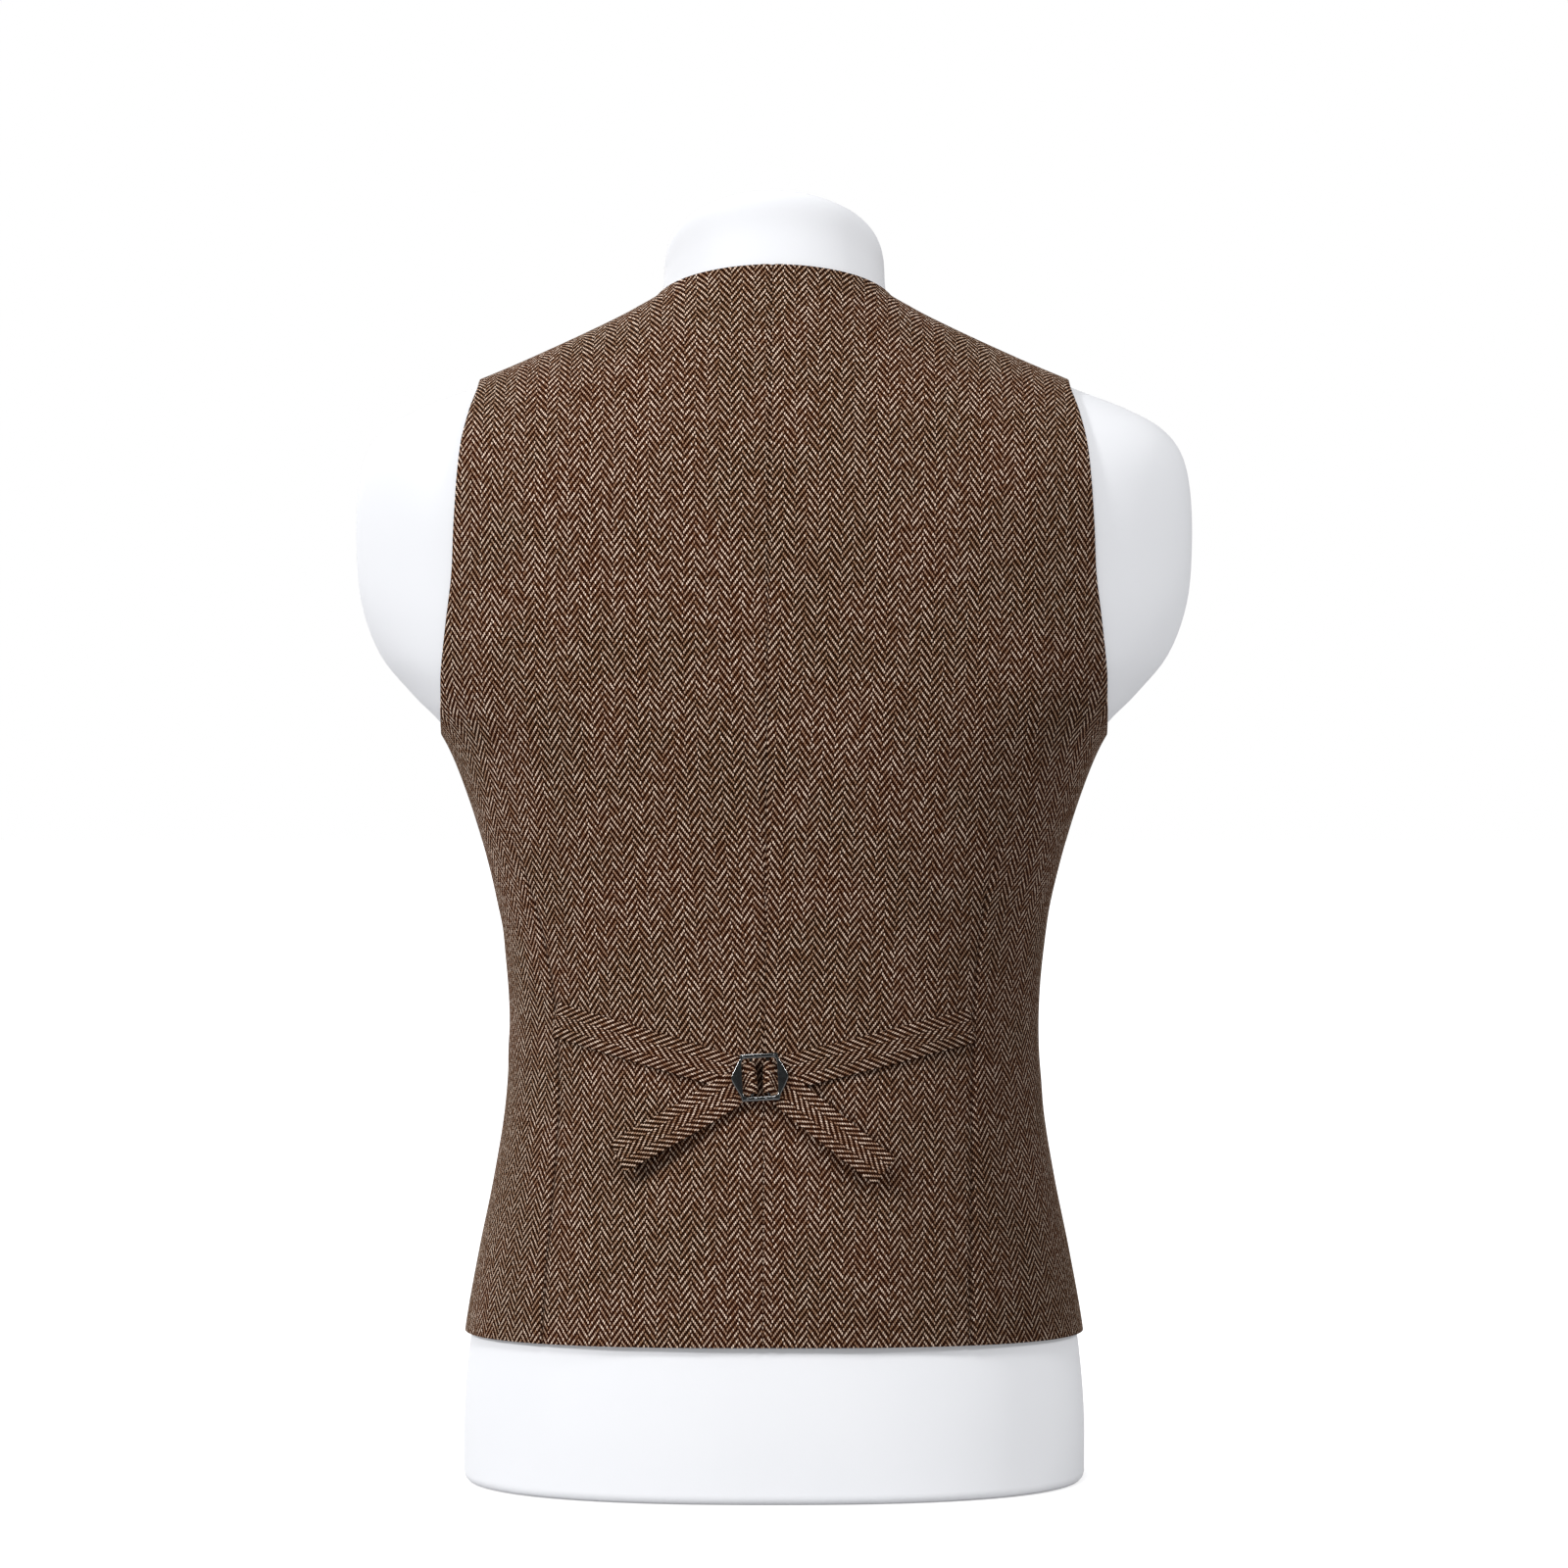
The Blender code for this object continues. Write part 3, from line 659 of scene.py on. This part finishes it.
def dart_share(side):
    """Where a back panel's dart runs: ring numbers, and shares of the panel's width."""
    heights = np.array(DART_HEIGHTS)
    out = np.array(DART_LEFT if side > 0 else DART_RIGHT)
    number, angle = place_at(out, heights)
    centre = side * centre_angle(number)
    return np.polyfit(number, (angle - centre) / (SIDE_SEAM - centre), 4), number[-1]


def turned_away(number, angle, height):
    """A painted soft shade low down and on the wearer's right of the back, gone at the side seam.
    """
    facing = outward(number, angle)
    below_blades = 1 - 0.6 * ease_curve((height - 0.48) / 0.14)
    away = 0.36 * ease_curve((0.20 - facing[..., 0]) / 0.90) * below_blades
    low = 0.14 * ease_curve((0.45 - height) / 0.25)
    return (away + low) * ease_curve(facing[..., 1] / 0.30)


# The painted line of shadow beside each tail: its two ends as x and height, how dark it is at
# each
TAIL_SHADE = {
    1: ((0.0225, 0.2033), (0.0747, 0.1700), 0.25, 0.62),
    -1: ((-0.0151, 0.2238), (-0.0596, 0.1866), 0.58, 0.34),
}
TAIL_SHADE_WIDTH = 0.0034


def beside_tail(points, side):
    """A painted soft shadow line where a tail stands off the cloth."""
    (x, z), (end_x, end_z), deep, end_deep = TAIL_SHADE[side]
    run_x, run_z = end_x - x, end_z - z
    dx, dz = points[..., 0] - x, points[..., 2] - z
    share = np.clip((dx * run_x + dz * run_z) / (run_x**2 + run_z**2), 0.0, 1.0)
    away = np.hypot(dx - share * run_x, dz - share * run_z)
    return near(away, TAIL_SHADE_WIDTH) * (deep + (end_deep - deep) * share)


# Soft folds: x, height, reach sideways and up, slant in degrees, and height of the crest
FOLDS_LEFT = (
    (0.060, 0.262, 0.050, 0.007, -14, 0.0006),
    (0.070, 0.215, 0.045, 0.009, 20, 0.0007),
    (0.085, 0.600, 0.035, 0.012, -30, 0.0006),
    (0.142, 0.300, 0.020, 0.010, 10, -0.0007),
    (0.138, 0.235, 0.020, 0.009, -8, 0.0006),
    (0.035, 0.130, 0.012, 0.050, 4, 0.0006),
    (0.090, 0.120, 0.012, 0.045, -5, 0.0007),
    (0.120, 0.470, 0.014, 0.060, 8, -0.0006),
)
FOLDS_RIGHT = (
    (0.058, 0.258, 0.046, 0.007, -14, 0.0006),
    (0.066, 0.205, 0.050, 0.010, 22, 0.0007),
    (0.080, 0.598, 0.040, 0.011, -28, 0.0006),
    (0.130, 0.310, 0.022, 0.012, 12, -0.0008),
    (0.128, 0.220, 0.022, 0.010, -10, 0.0007),
    (0.045, 0.125, 0.013, 0.048, 3, 0.0006),
    (0.080, 0.135, 0.012, 0.050, -6, -0.0006),
    (0.118, 0.480, 0.015, 0.055, 6, -0.0007),
)


def folds(points, side):
    """Soft ridges and troughs, each placed as listed."""
    table = FOLDS_LEFT if side > 0 else FOLDS_RIGHT
    total = np.zeros(points.shape[:2])
    for x, height, wide, tall, slant, crest in table:
        turn = math.radians(slant)
        dx = abs(points[..., 0]) - x
        dz = points[..., 2] - height
        run = dx * math.cos(turn) + dz * math.sin(turn)
        rise = -dx * math.sin(turn) + dz * math.cos(turn)
        total += crest * np.exp(-((run / wide) ** 2) - (rise / tall) ** 2)
    return total


def back_panel(side, material):
    rows = panel_rows()[:, None]
    inside = crowded(DART_COLUMN)
    outside = crowded(BACK_COLUMNS - DART_COLUMN)[1:]
    curve, last = dart_share(side)
    dart = np.polyval(curve, np.minimum(rows, last))
    share = np.concatenate((dart * inside, dart + (1 - dart) * outside), axis=1)
    number = np.broadcast_to(rows, share.shape).copy()
    outer = SIDE_SEAM - armhole_angle(number, ARMHOLE_BACK)
    start = side * centre_angle(number) + gap_angle(number, 0.0)
    end = outer - gap_angle(number, outer)
    angle = side * (start + share * (end - start))
    flat = on_cloth(number, angle)
    wide = round_body(flat)
    edge = wide[:, -1:] - wide
    from_dart = wide - wide[:, DART_COLUMN : DART_COLUMN + 1]
    open_dart = 1 - ease_curve((number - DART_TOP[0]) / (DART_TOP[1] - DART_TOP[0]))
    lift = -line(from_dart, DART_SINK) * open_dart
    lift -= line(wide, CENTRE_SINK) + line(edge, SIDE_SINK)
    lift += line(from_dart - DART_SWELL[2], DART_SWELL[:2]) * open_dart
    lift += line(wide - CENTRE_SWELL[2], CENTRE_SWELL[:2]) + folds(flat, side)

    # Painted shadow on the cloth behind the buckle's window
    shadow_behind_buckle = near(flat[..., 0] - BUCKLE_X, PAINTED_SHADOW_BEHIND_BUCKLE[1])
    shadow_behind_buckle = shadow_behind_buckle * line(flat[..., 2] - BUCKLE_Z, PAINTED_SHADOW_BEHIND_BUCKLE[::2])
    # Dark sewn lines, painted shade and painted shadows, taken together as one darkening
    shades = (
        line(from_dart, DART_DARK) * open_dart,
        line(wide, CENTRE_DARK),
        turned_away(number, angle, flat[..., 2]),
        shadow_behind_buckle,
        beside_tail(flat, side),
    )
    seam_and_painted_shade = np.maximum.reduce(shades)

    straight, high = grain(number, angle, flat, 0.0)
    chest = above_chest(number)
    amount, above = CENTRE_TAKE[side]
    centre_take = amount * ease_curve((above - flat[:, :1, 2]) / (above - CENTRE_TAKEN))
    take = DART_TAKE * near(flat[:, DART_COLUMN, 2] - WAIST_HEIGHT, DART_REACH) * open_dart[:, 0]
    across = wide * (1 - chest) + side * (straight - centre_x(CHEST_RING)) * chest
    layout = side * (across + centre_take + WEAVE_START[side])
    name = "left" if side > 0 else "right"
    piece = cloth_panel(
        f"back_{name}_cloth", number, angle, lift, layout, high, seam_and_painted_shade, DART_COLUMN, side * take,
        material, f"back_{name}",
    )


def neckline_x(height):
    slope = (V_HEAD[0] - V_FOOT[0]) / (V_HEAD[1] - V_FOOT[1])
    return V_FOOT[0] + slope * (height - V_FOOT[1])


def front_edge_angle(number):
    low = HEM_RING - POINT_DROP
    share = ease_curve((number - low) / (CUTAWAY_TOP - low))
    cutaway = POINT_ANGLE + (FRONT_EDGE - POINT_ANGLE) * share

    def inside(angle):
        point = skin(number, angle)
        return point[..., 0] - neckline_x(point[..., 2])

    neck = solve(inside, np.full(number.shape, SIDE_SEAM), np.full(number.shape, FRONT_EDGE))
    return np.where(number < CUTAWAY_TOP, cutaway, neck)


def overlap_lift(x):
    return OVERLAP_RISE * ease_curve((OVERLAP_START - x) / (OVERLAP_START - OVERLAP_FULL))


def front_panel(side, material):
    share = crowded(FRONT_COLUMNS)[None, :]
    rows = panel_rows()[:, None]
    hem = HEM_RING - POINT_DROP * share**POINT_SHARPNESS
    rise = (rows - HEM_RING) / (LEVEL_RING - HEM_RING)
    number = np.where(rows < LEVEL_RING, hem + rise * (LEVEL_RING - hem), rows)
    outer = SIDE_SEAM + armhole_angle(number, ARMHOLE_FRONT)
    start = outer + gap_angle(number, outer)
    angle = start + share * (front_edge_angle(number) - start)
    lap = overlap_lift(skin(number, angle)[..., 0]) if side > 0 else 0.0
    angle = side * angle
    flat = on_cloth(number, angle, lap)
    wide = round_body(flat)
    edge = wide[:, -1:] - wide
    lift = lap - line(wide, SIDE_SINK) - line(edge, FRONT_EDGE_SINK) + folds(flat, -side)
    seam_and_painted_shade = line(wide, SIDE_DARK)
    straight, high = grain(number, angle, flat, 180.0)
    chest = above_chest(number)
    layout = (side * flat[:, -1:, 0] + edge) * (1 - chest) + side * straight * chest
    name = "left" if side > 0 else "right"
    piece = cloth_panel(
        f"front_{name}_cloth", number, angle, lift, layout, high, seam_and_painted_shade, FRONT_COLUMNS,
        np.zeros(len(rows)), material, f"front_{name}",
    )


# ---- dress form


def dress_form(material):
    crown = np.linspace(CROWN_RING, len(RINGS) - 1, 21)
    rows = np.concatenate((np.arange(0, CROWN_RING, 0.2), crown))
    bm = bmesh.new()
    bmesh.ops.create_grid(bm, x_segments=FORM_COLUMNS, y_segments=len(rows) - 1, size=1.0)
    for vert in bm.verts:
        row = round((vert.co.y + 1) / 2 * (len(rows) - 1))
        vert.co = skin(rows[row], 180 * (vert.co.x + 1))
    bmesh.ops.remove_doubles(bm, verts=bm.verts, dist=TOUCHING)
    rims = [edge for edge in bm.edges if edge.is_boundary]
    caps = bmesh.ops.holes_fill(bm, edges=rims, sides=0)["faces"]
    bmesh.ops.poke(bm, faces=[face for face in caps if face.calc_center_median().z > 0.1])
    foot = [edge for edge in bm.edges if all(vert.co.z < TOUCHING for vert in edge.verts)]
    bmesh.ops.bevel(
        bm, geom=foot, offset=FOOT_ROUND, offset_type="OFFSET", segments=3, profile=0.5,
        affect="EDGES", material=-1,
    )
    add_piece("form_surface", bm, material, ("form",))


# ---- back belt


# Name, side, x and height of the strap's end and of the tail's, lift of the tail's end
BELTS = (
    ("left", 1, (0.1174, 0.2538), (0.0800, 0.1805), 0.0086),
    ("right", -1, (-0.1064, 0.2509), (-0.0575, 0.1735), 0.0080),
)


def belt_stations(side, strap_end, tail_end, end_lift):
    """The belt's rows from its end in the dart, round the bar, to the tail's end. Each holds its
    centre, way across, way out, half width, half thickness, length so far, lean and painted
    shade."""
    tilt = Matrix.Rotation(math.radians(BUCKLE_TILT), 3, "Y")
    bar = Vector((BUCKLE_X, 0, BUCKLE_Z)) + tilt @ Vector((side * BAR_OFFSET, 0, 0))
    along_bar = tilt @ Vector((0, 0, 1))
    strap = Vector((strap_end[0], 0, strap_end[1])) - bar
    tail = Vector((tail_end[0], 0, tail_end[1])) - bar
    plan = []
    for share in 1 - crowded(STRAP_ROWS):
        turn = ease_curve(share * strap.length / TURN_LENGTH)
        sunk = STRAP_SINK[1] * ease_curve((share - STRAP_SINK[0]) / (1 - STRAP_SINK[0]))
        wave = STRAP_WAVE * math.sin(share * 17 + side) * ease_curve(share * 4)
        plan.append((strap, share, turn, STRAP_LIFT - sunk + wave, 0.0))
    for step in range(1, FOLD_ROWS):
        plan.append((strap, 0.0, 0.0, None, math.pi * step / FOLD_ROWS))
    for share in crowded(TAIL_ROWS):
        drop = ease_curve(share * tail.length / DROP_LENGTH)
        turn = ease_curve(share * tail.length / TURN_LENGTH)
        high = BAR_LIFT + FOLD_RADIUS
        lift = high + (TAIL_LIFT - high) * drop
        curl = ease_curve((share - TAIL_REST) / (1 - TAIL_REST))
        lift += (end_lift - TAIL_LIFT) * curl
        plan.append((tail, share, turn, lift, math.pi))
    spots = [bar + way * share for way, share, *_ in plan]
    for spot, (*_, lift, fold) in zip(spots, plan):
        if lift is None:
            spot.x -= side * FOLD_RADIUS * math.sin(fold)
    number, angle = place_at([spot.x for spot in spots], [spot.z for spot in spots])
    lifts = [
        BAR_LIFT - FOLD_RADIUS * math.cos(fold) if lift is None else lift
        for *_, lift, fold in plan
    ]
    centres = on_cloth(number, angle, np.array(lifts))
    outs = outward(number, angle)
    # Painted shade on the belt, the same as on the back panels
    shade = turned_away(number, angle, centres[:, 2])
    lengths = gathered(np.linalg.norm(np.diff(centres, axis=0), axis=1), 0)
    total = lengths[-1]
    rows = []
    for k, (way, share, turn, lift, fold) in enumerate(plan):
        out = Vector(outs[k])
        run = way.normalized()
        upright = Vector((-run.z, 0, run.x)) * (1 if run.x > 0 else -1)
        across = along_bar.lerp(upright, turn)
        across = (across - out * across.dot(out)).normalized()
        bar_side = across.cross(out)
        bar_side *= math.copysign(1, bar_side.x * side)
        face = (out * math.cos(fold) + bar_side * math.sin(fold)).normalized()
        width = BELT_WIDTH * (BELT_GATHER + (1 - BELT_GATHER) * turn) / 2
        left_over = max(total - lengths[k], 0.0)
        corner = 1 - math.sqrt(max(1 - (1 - min(left_over / TAIL_CORNER, 1)) ** 2, 0.0))
        width -= 0.0012 * corner
        thick = BELT_THICK / 2 * (1 - 0.75 * corner)
        lean = Vector((side * FOLD_PART * (1 - turn) ** 2 * math.copysign(1, across.z), 0, 0))
        centre = Vector(centres[k])
        rows.append((centre, across, face, width, thick, lengths[k], lean, shade[k]))
    return rows


def belt_half(name, side, strap_end, tail_end, end_lift, material):
    stations = belt_stations(side, strap_end, tail_end, end_lift)
    bm = bmesh.new()
    bmesh.ops.create_grid(bm, x_segments=BELT_AROUND, y_segments=len(stations) - 1, size=1.0)
    weave = bm.loops.layers.uv.new("weave")
    shade = bm.verts.layers.float.new("seam_and_painted_shade")
    spots = {}
    for vert in bm.verts:
        row = round((vert.co.y + 1) / 2 * (len(stations) - 1))
        turn = math.pi * (vert.co.x + 1)
        centre, across, face, half_width, half_thick, length, lean, dim = stations[row]
        sideways = squared(math.cos(turn), 0.55)
        upward = squared(math.sin(turn), 0.42)
        edge = abs(sideways) ** 6
        spots[vert] = (sideways * half_width, length)
        vert.co = centre + across * sideways * half_width
        vert.co += face * upward * half_thick * (1 - 0.1 * edge) + lean * (sideways + 0.5)
        vert[shade] = dim
    for face in bm.faces:
        for loop in face.loops:
            sideways, length = spots[loop.vert]
            loop[weave].uv = (sideways * 3 * STRIPE / BELT_WIDTH + 1.5 * STRIPE, -length)
    bmesh.ops.remove_doubles(bm, verts=bm.verts, dist=TOUCHING)
    rims = [edge for edge in bm.edges if edge.is_boundary]
    bmesh.ops.holes_fill(bm, edges=rims, sides=0)
    piece = add_piece(f"belt_{name}_cloth", bm, material, (f"belt_{name}",))
    length = stations[-1][5]


# ---- slide buckle


# A quarter of the frame's outline, and the window's width and height
BUCKLE_QUARTER = (
    (0.0098, 0.0126),
    (0.0101, 0.0119),
    (0.0102, 0.0110),
    (0.0105, 0.0099),
    (0.0112, 0.0085),
    (0.0122, 0.0068),
    (0.0132, 0.0050),
    (0.0140, 0.0034),
    (0.0149, 0.0015),
    (0.0152, 0.0004),
)
WINDOW = (0.0188, 0.0204)
# Small studs: x, height and radius
STUDS = (
    (-0.0082, 0.0114, 0.00075),
    (0.0082, 0.0114, 0.00075),
    (-0.0070, -0.0114, 0.00060),
    (-0.0028, -0.0114, 0.00060),
    (0.0028, -0.0114, 0.00060),
    (0.0070, -0.0114, 0.00060),
)


def buckle_stand():
    """Stands the buckle on the cloth: its width along X, its face towards Y, upright along Z."""
    number, angle = place_at(BUCKLE_X, BUCKLE_Z)
    out = Vector(outward(number, angle))
    up = (Vector((0, 0, 1)) - out * out.z).normalized()
    axes = Matrix((out.cross(up), out, up)).transposed().to_4x4()
    turn = Matrix.Rotation(math.radians(BUCKLE_TILT), 4, "Y")
    return Matrix.Translation(Vector(on_cloth(number, angle))) @ axes @ turn


def ring_of(bm, points, level):
    verts = [bm.verts.new((x, level, z)) for x, z in points]
    return [bm.edges.new(pair) for pair in zip(verts, verts[1:] + verts[:1])]


def window_points(count):
    """The window's outline, a rectangle with round corners."""
    points = []
    for k in range(count):
        turn = math.tau * (k + 0.5) / count
        x = WINDOW[0] / 2 * squared(math.cos(turn), 0.22)
        z = WINDOW[1] / 2 * squared(math.sin(turn), 0.22)
        points.append((x, z))
    return points


def buckle(material):
    right = list(BUCKLE_QUARTER) + [(x, -z) for x, z in reversed(BUCKLE_QUARTER)]
    outline = right + [(-x, -z) for x, z in right]
    bm = bmesh.new()
    rims = ring_of(bm, outline, BUCKLE_LIFT)
    rims += ring_of(bm, window_points(len(outline)), BUCKLE_LIFT)
    bmesh.ops.bridge_loops(bm, edges=rims)
    raised = bmesh.ops.extrude_face_region(bm, geom=list(bm.faces))
    verts = [part for part in raised["geom"] if isinstance(part, bmesh.types.BMVert)]
    bmesh.ops.translate(bm, verts=verts, vec=(0, BUCKLE_THICK, 0))
    bmesh.ops.recalc_face_normals(bm, faces=bm.faces)
    rims = [edge for edge in bm.edges if edge.calc_face_angle(0) > math.radians(60)]
    bmesh.ops.bevel(
        bm, geom=rims, offset=BUCKLE_ROUND, offset_type="OFFSET", segments=4, profile=0.5,
        affect="EDGES", material=-1,
    )
    for side in (-1, 1):
        bmesh.ops.create_cone(
            bm, cap_ends=True, segments=20, radius1=BAR_RADIUS, radius2=BAR_RADIUS,
            depth=2 * POST_REACH, matrix=Matrix.Translation((side * BAR_OFFSET, BAR_LIFT, 0)),
        )
        for end in (-1, 1):
            # A short post from the bar up into the frame
            low, high = BAR_LIFT, BUCKLE_LIFT + 0.0004
            spot = (side * BAR_OFFSET, (low + high) / 2, end * (POST_REACH - 0.0007))
            size = Matrix.Diagonal((0.0016, high - low, 0.0011, 1))
            bmesh.ops.create_cube(bm, size=1.0, matrix=Matrix.Translation(spot) @ size)
    for x, z, radius in STUDS:
        spot = Matrix.Translation((x, BUCKLE_LIFT + BUCKLE_THICK, z))
        bmesh.ops.create_uvsphere(
            bm, u_segments=16, v_segments=10, radius=radius,
            matrix=spot @ Matrix.Diagonal((1.3, 0.55, 0.9, 1)),
        )
    bmesh.ops.transform(bm, matrix=buckle_stand(), verts=bm.verts)
    add_piece("slide_buckle", bm, material, ("buckle",))


# ---- buttons


# Radius and height of the turned button, and its four holes
BUTTON_PROFILE = (
    (0.0000, 0.0000),
    (0.0060, 0.0000),
    (0.0069, 0.0004),
    (0.0074, 0.0010),
    (0.0075, 0.0017),
    (0.0073, 0.0024),
    (0.0069, 0.0029),
    (0.0064, 0.0030),
    (0.0059, 0.0028),
    (0.0054, 0.0023),
    (0.0047, 0.0019),
    (0.0030, 0.0018),
    (0.0000, 0.0018),
)
HOLE_OFFSET = 0.0014
HOLE_RADIUS = 0.00065
THREAD_RADIUS = 0.00022
THREAD_STEPS = 12
THREAD_ARCH = (0.0009, 0.0015)  # height in the hole, and how much higher over the button
# Buttonhole: where its slit starts, its length and half width, and its stitches
SLIT_START = -0.0035
SLIT_LENGTH = 0.0200
SLIT_HALF = 0.0007
STITCHES = 26
STITCH_RADIUS = 0.00028


def button_stand(height):
    """Stands a button on the left front with its face along Z."""
    number, angle = place_at(0.0, height, 180.0)
    seat = Vector(on_cloth(number, angle, overlap_lift(0.0) + SEAM_GAP))
    out = Vector(outward(number, angle))
    up = Vector((1, 0, 0)).cross(out).normalized()
    axes = Matrix((out.cross(up), up, out)).transposed().to_4x4()
    return Matrix.Translation(seat) @ axes


def button(number, height, material, sewing):
    stand = button_stand(height)
    bm = bmesh.new()
    verts = [bm.verts.new((radius, 0, high)) for radius, high in BUTTON_PROFILE]
    edges = [bm.edges.new(pair) for pair in zip(verts, verts[1:])]
    bmesh.ops.spin(
        bm, geom=verts + edges, cent=(0, 0, 0), axis=(0, 0, 1), angle=math.tau, steps=64,
        use_merge=True,
    )
    bmesh.ops.remove_doubles(bm, verts=bm.verts, dist=TOUCHING)
    bmesh.ops.transform(bm, matrix=stand, verts=bm.verts)
    name = f"button_{number}"
    piece = add_piece(f"{name}_horn", bm, material, (name,))
    holes = bmesh.new()
    signs = ((1, 1), (-1, 1), (-1, -1), (1, -1))
    corners = [(x * HOLE_OFFSET, y * HOLE_OFFSET) for x, y in signs]
    for x, y in corners:
        bmesh.ops.create_cone(
            holes, cap_ends=True, segments=20, radius1=HOLE_RADIUS, radius2=HOLE_RADIUS,
            depth=0.006, matrix=stand @ Matrix.Translation((x, y, 0.0015)),
        )
    mesh = bpy.data.meshes.new("holes")
    holes.to_mesh(mesh)
    holes.free()
    cutter = bpy.data.objects.new("holes", mesh)
    bpy.context.scene.collection.objects.link(cutter)
    cut = piece.modifiers.new("holes", "BOOLEAN")
    cut.operation = "DIFFERENCE"
    cut.solver = "EXACT"
    cut.object = cutter
    bpy.context.view_layer.update()
    depsgraph = bpy.context.evaluated_depsgraph_get()
    finished = bpy.data.meshes.new_from_object(piece.evaluated_get(depsgraph))
    piece.modifiers.remove(cut)
    piece.data = finished
    bpy.data.objects.remove(cutter, do_unlink=True)
    finished.set_sharp_from_angle(angle=SHARP)

    # Two threads side by side over each pair of holes, crossed
    low, arch = THREAD_ARCH
    for start, end in ((corners[0], corners[2]), (corners[1], corners[3])):
        for shift in (-THREAD_RADIUS, THREAD_RADIUS):
            points = []
            for step in range(THREAD_STEPS + 1):
                share = step / THREAD_STEPS
                x = start[0] + (end[0] - start[0]) * share + shift
                y = start[1] + (end[1] - start[1]) * share
                points.append((x, y, low + arch * math.sin(math.pi * share) ** 0.45))
            tube(sewing, points, THREAD_RADIUS, stand)


def tube(bm, points, radius, stand, sides=8):
    """Adds a thread that follows the points."""
    ring = []
    ways = [Vector(b) - Vector(a) for a, b in zip(points, points[1:])]
    ways = [ways[0]] + [a + b for a, b in zip(ways, ways[1:])] + [ways[-1]]
    for point, way in zip(points, ways):
        turn = way.to_track_quat("Z", "Y").to_matrix().to_4x4()
        made = bmesh.ops.create_circle(
            bm, segments=sides, radius=radius,
            matrix=stand @ Matrix.Translation(Vector(point)) @ turn,
        )["verts"]
        edges = list({edge for vert in made for edge in vert.link_edges})
        if ring:
            bmesh.ops.bridge_loops(bm, edges=ring + edges)
        ring = edges


def buttonholes(sewing):
    """A slit with close overcast stitches round it, beside each button on the left front."""
    for height in BUTTON_HEIGHTS:
        stand = button_stand(height)
        for row in (-1, 1):
            for step in range(STITCHES):
                x = SLIT_START + SLIT_LENGTH * step / (STITCHES - 1)
                points = [
                    (x, row * SLIT_HALF * 0.2, -0.0002),
                    (x, row * (SLIT_HALF + 0.0002), 0.00012),
                    (x, row * (SLIT_HALF + 0.0013), -0.0003),
                ]
                tube(sewing, points, STITCH_RADIUS, stand, 6)


# ---- studio


# Strength of the room's white light on cloth, and in reflections
WORLD_GLOW = 0.52
WORLD_GLOSS = 0.06
# Lamps: name, the way towards it, power, and softness in degrees
LAMPS = (
    ("key", (0.72, 0.51, 0.47), 1.85, 8),
    ("top", (0.15, 0.55, 0.85), 1.00, 14),
    ("glint", (-0.69, 0.47, 0.55), 0.95, 8),
    ("fill", (0.45, -0.80, 0.40), 1.2, 40),
)
CAMERA_PLACE = (-0.0054, 2.7, 0.380)
CAMERA_LENS = 112.5


def studio():
    floor = bmesh.new()
    bmesh.ops.create_grid(floor, x_segments=2, y_segments=2, size=30.0)
    bmesh.ops.translate(floor, verts=floor.verts, vec=(0, 0, -0.0002))
    mesh = bpy.data.meshes.new("floor")
    floor.to_mesh(mesh)
    floor.free()
    mesh.materials.append(floor_paint())
    thing = bpy.data.objects.new("floor", mesh)
    bpy.context.scene.collection.objects.link(thing)

    world = bpy.data.worlds.new("studio")
    bpy.context.scene.world = world
    world.use_nodes = True
    tree = world.node_tree
    ray = tree.nodes.new("ShaderNodeLightPath").outputs
    glow = spread(tree, ray["Is Glossy Ray"], 0.0, 1.0, WORLD_GLOW, WORLD_GLOSS)
    glow = maths(tree, "MAXIMUM", glow, ray["Is Camera Ray"])
    background = tree.nodes["Background"].inputs
    background["Color"].default_value = (1.0, 1.0, 1.0, 1.0)
    wire(tree, glow, background["Strength"])
    for name, towards, power, softness in LAMPS:
        lamp = bpy.data.objects.new(name, bpy.data.lights.new(name, "SUN"))
        lamp.data.energy = power
        lamp.data.angle = math.radians(softness)
        lamp.rotation_euler = Vector(towards).to_track_quat("Z", "Y").to_euler()
        bpy.context.scene.collection.objects.link(lamp)

    camera = bpy.data.objects.new("camera", bpy.data.cameras.new("camera"))
    camera.location = CAMERA_PLACE
    camera.rotation_euler = (math.radians(90), 0, math.radians(180))
    camera.data.lens = CAMERA_LENS
    camera.data.sensor_width = 36
    bpy.context.scene.collection.objects.link(camera)
    bpy.context.scene.camera = camera
    bpy.context.scene.view_settings.view_transform = "Standard"


def main():
    studio()
    cloth = tweed()
    dress_form(jersey())
    buckle(enamel())
    for side in (1, -1):
        back_panel(side, cloth)
        front_panel(side, cloth)
    for belt in BELTS:
        belt_half(*belt, cloth)
    horn_finish = horn()
    sewing = bmesh.new()
    for number, height in enumerate(BUTTON_HEIGHTS, start=1):
        button(number, height, horn_finish, sewing)
    buttonholes(sewing)
    add_piece("sewing_thread", sewing, thread())


main()
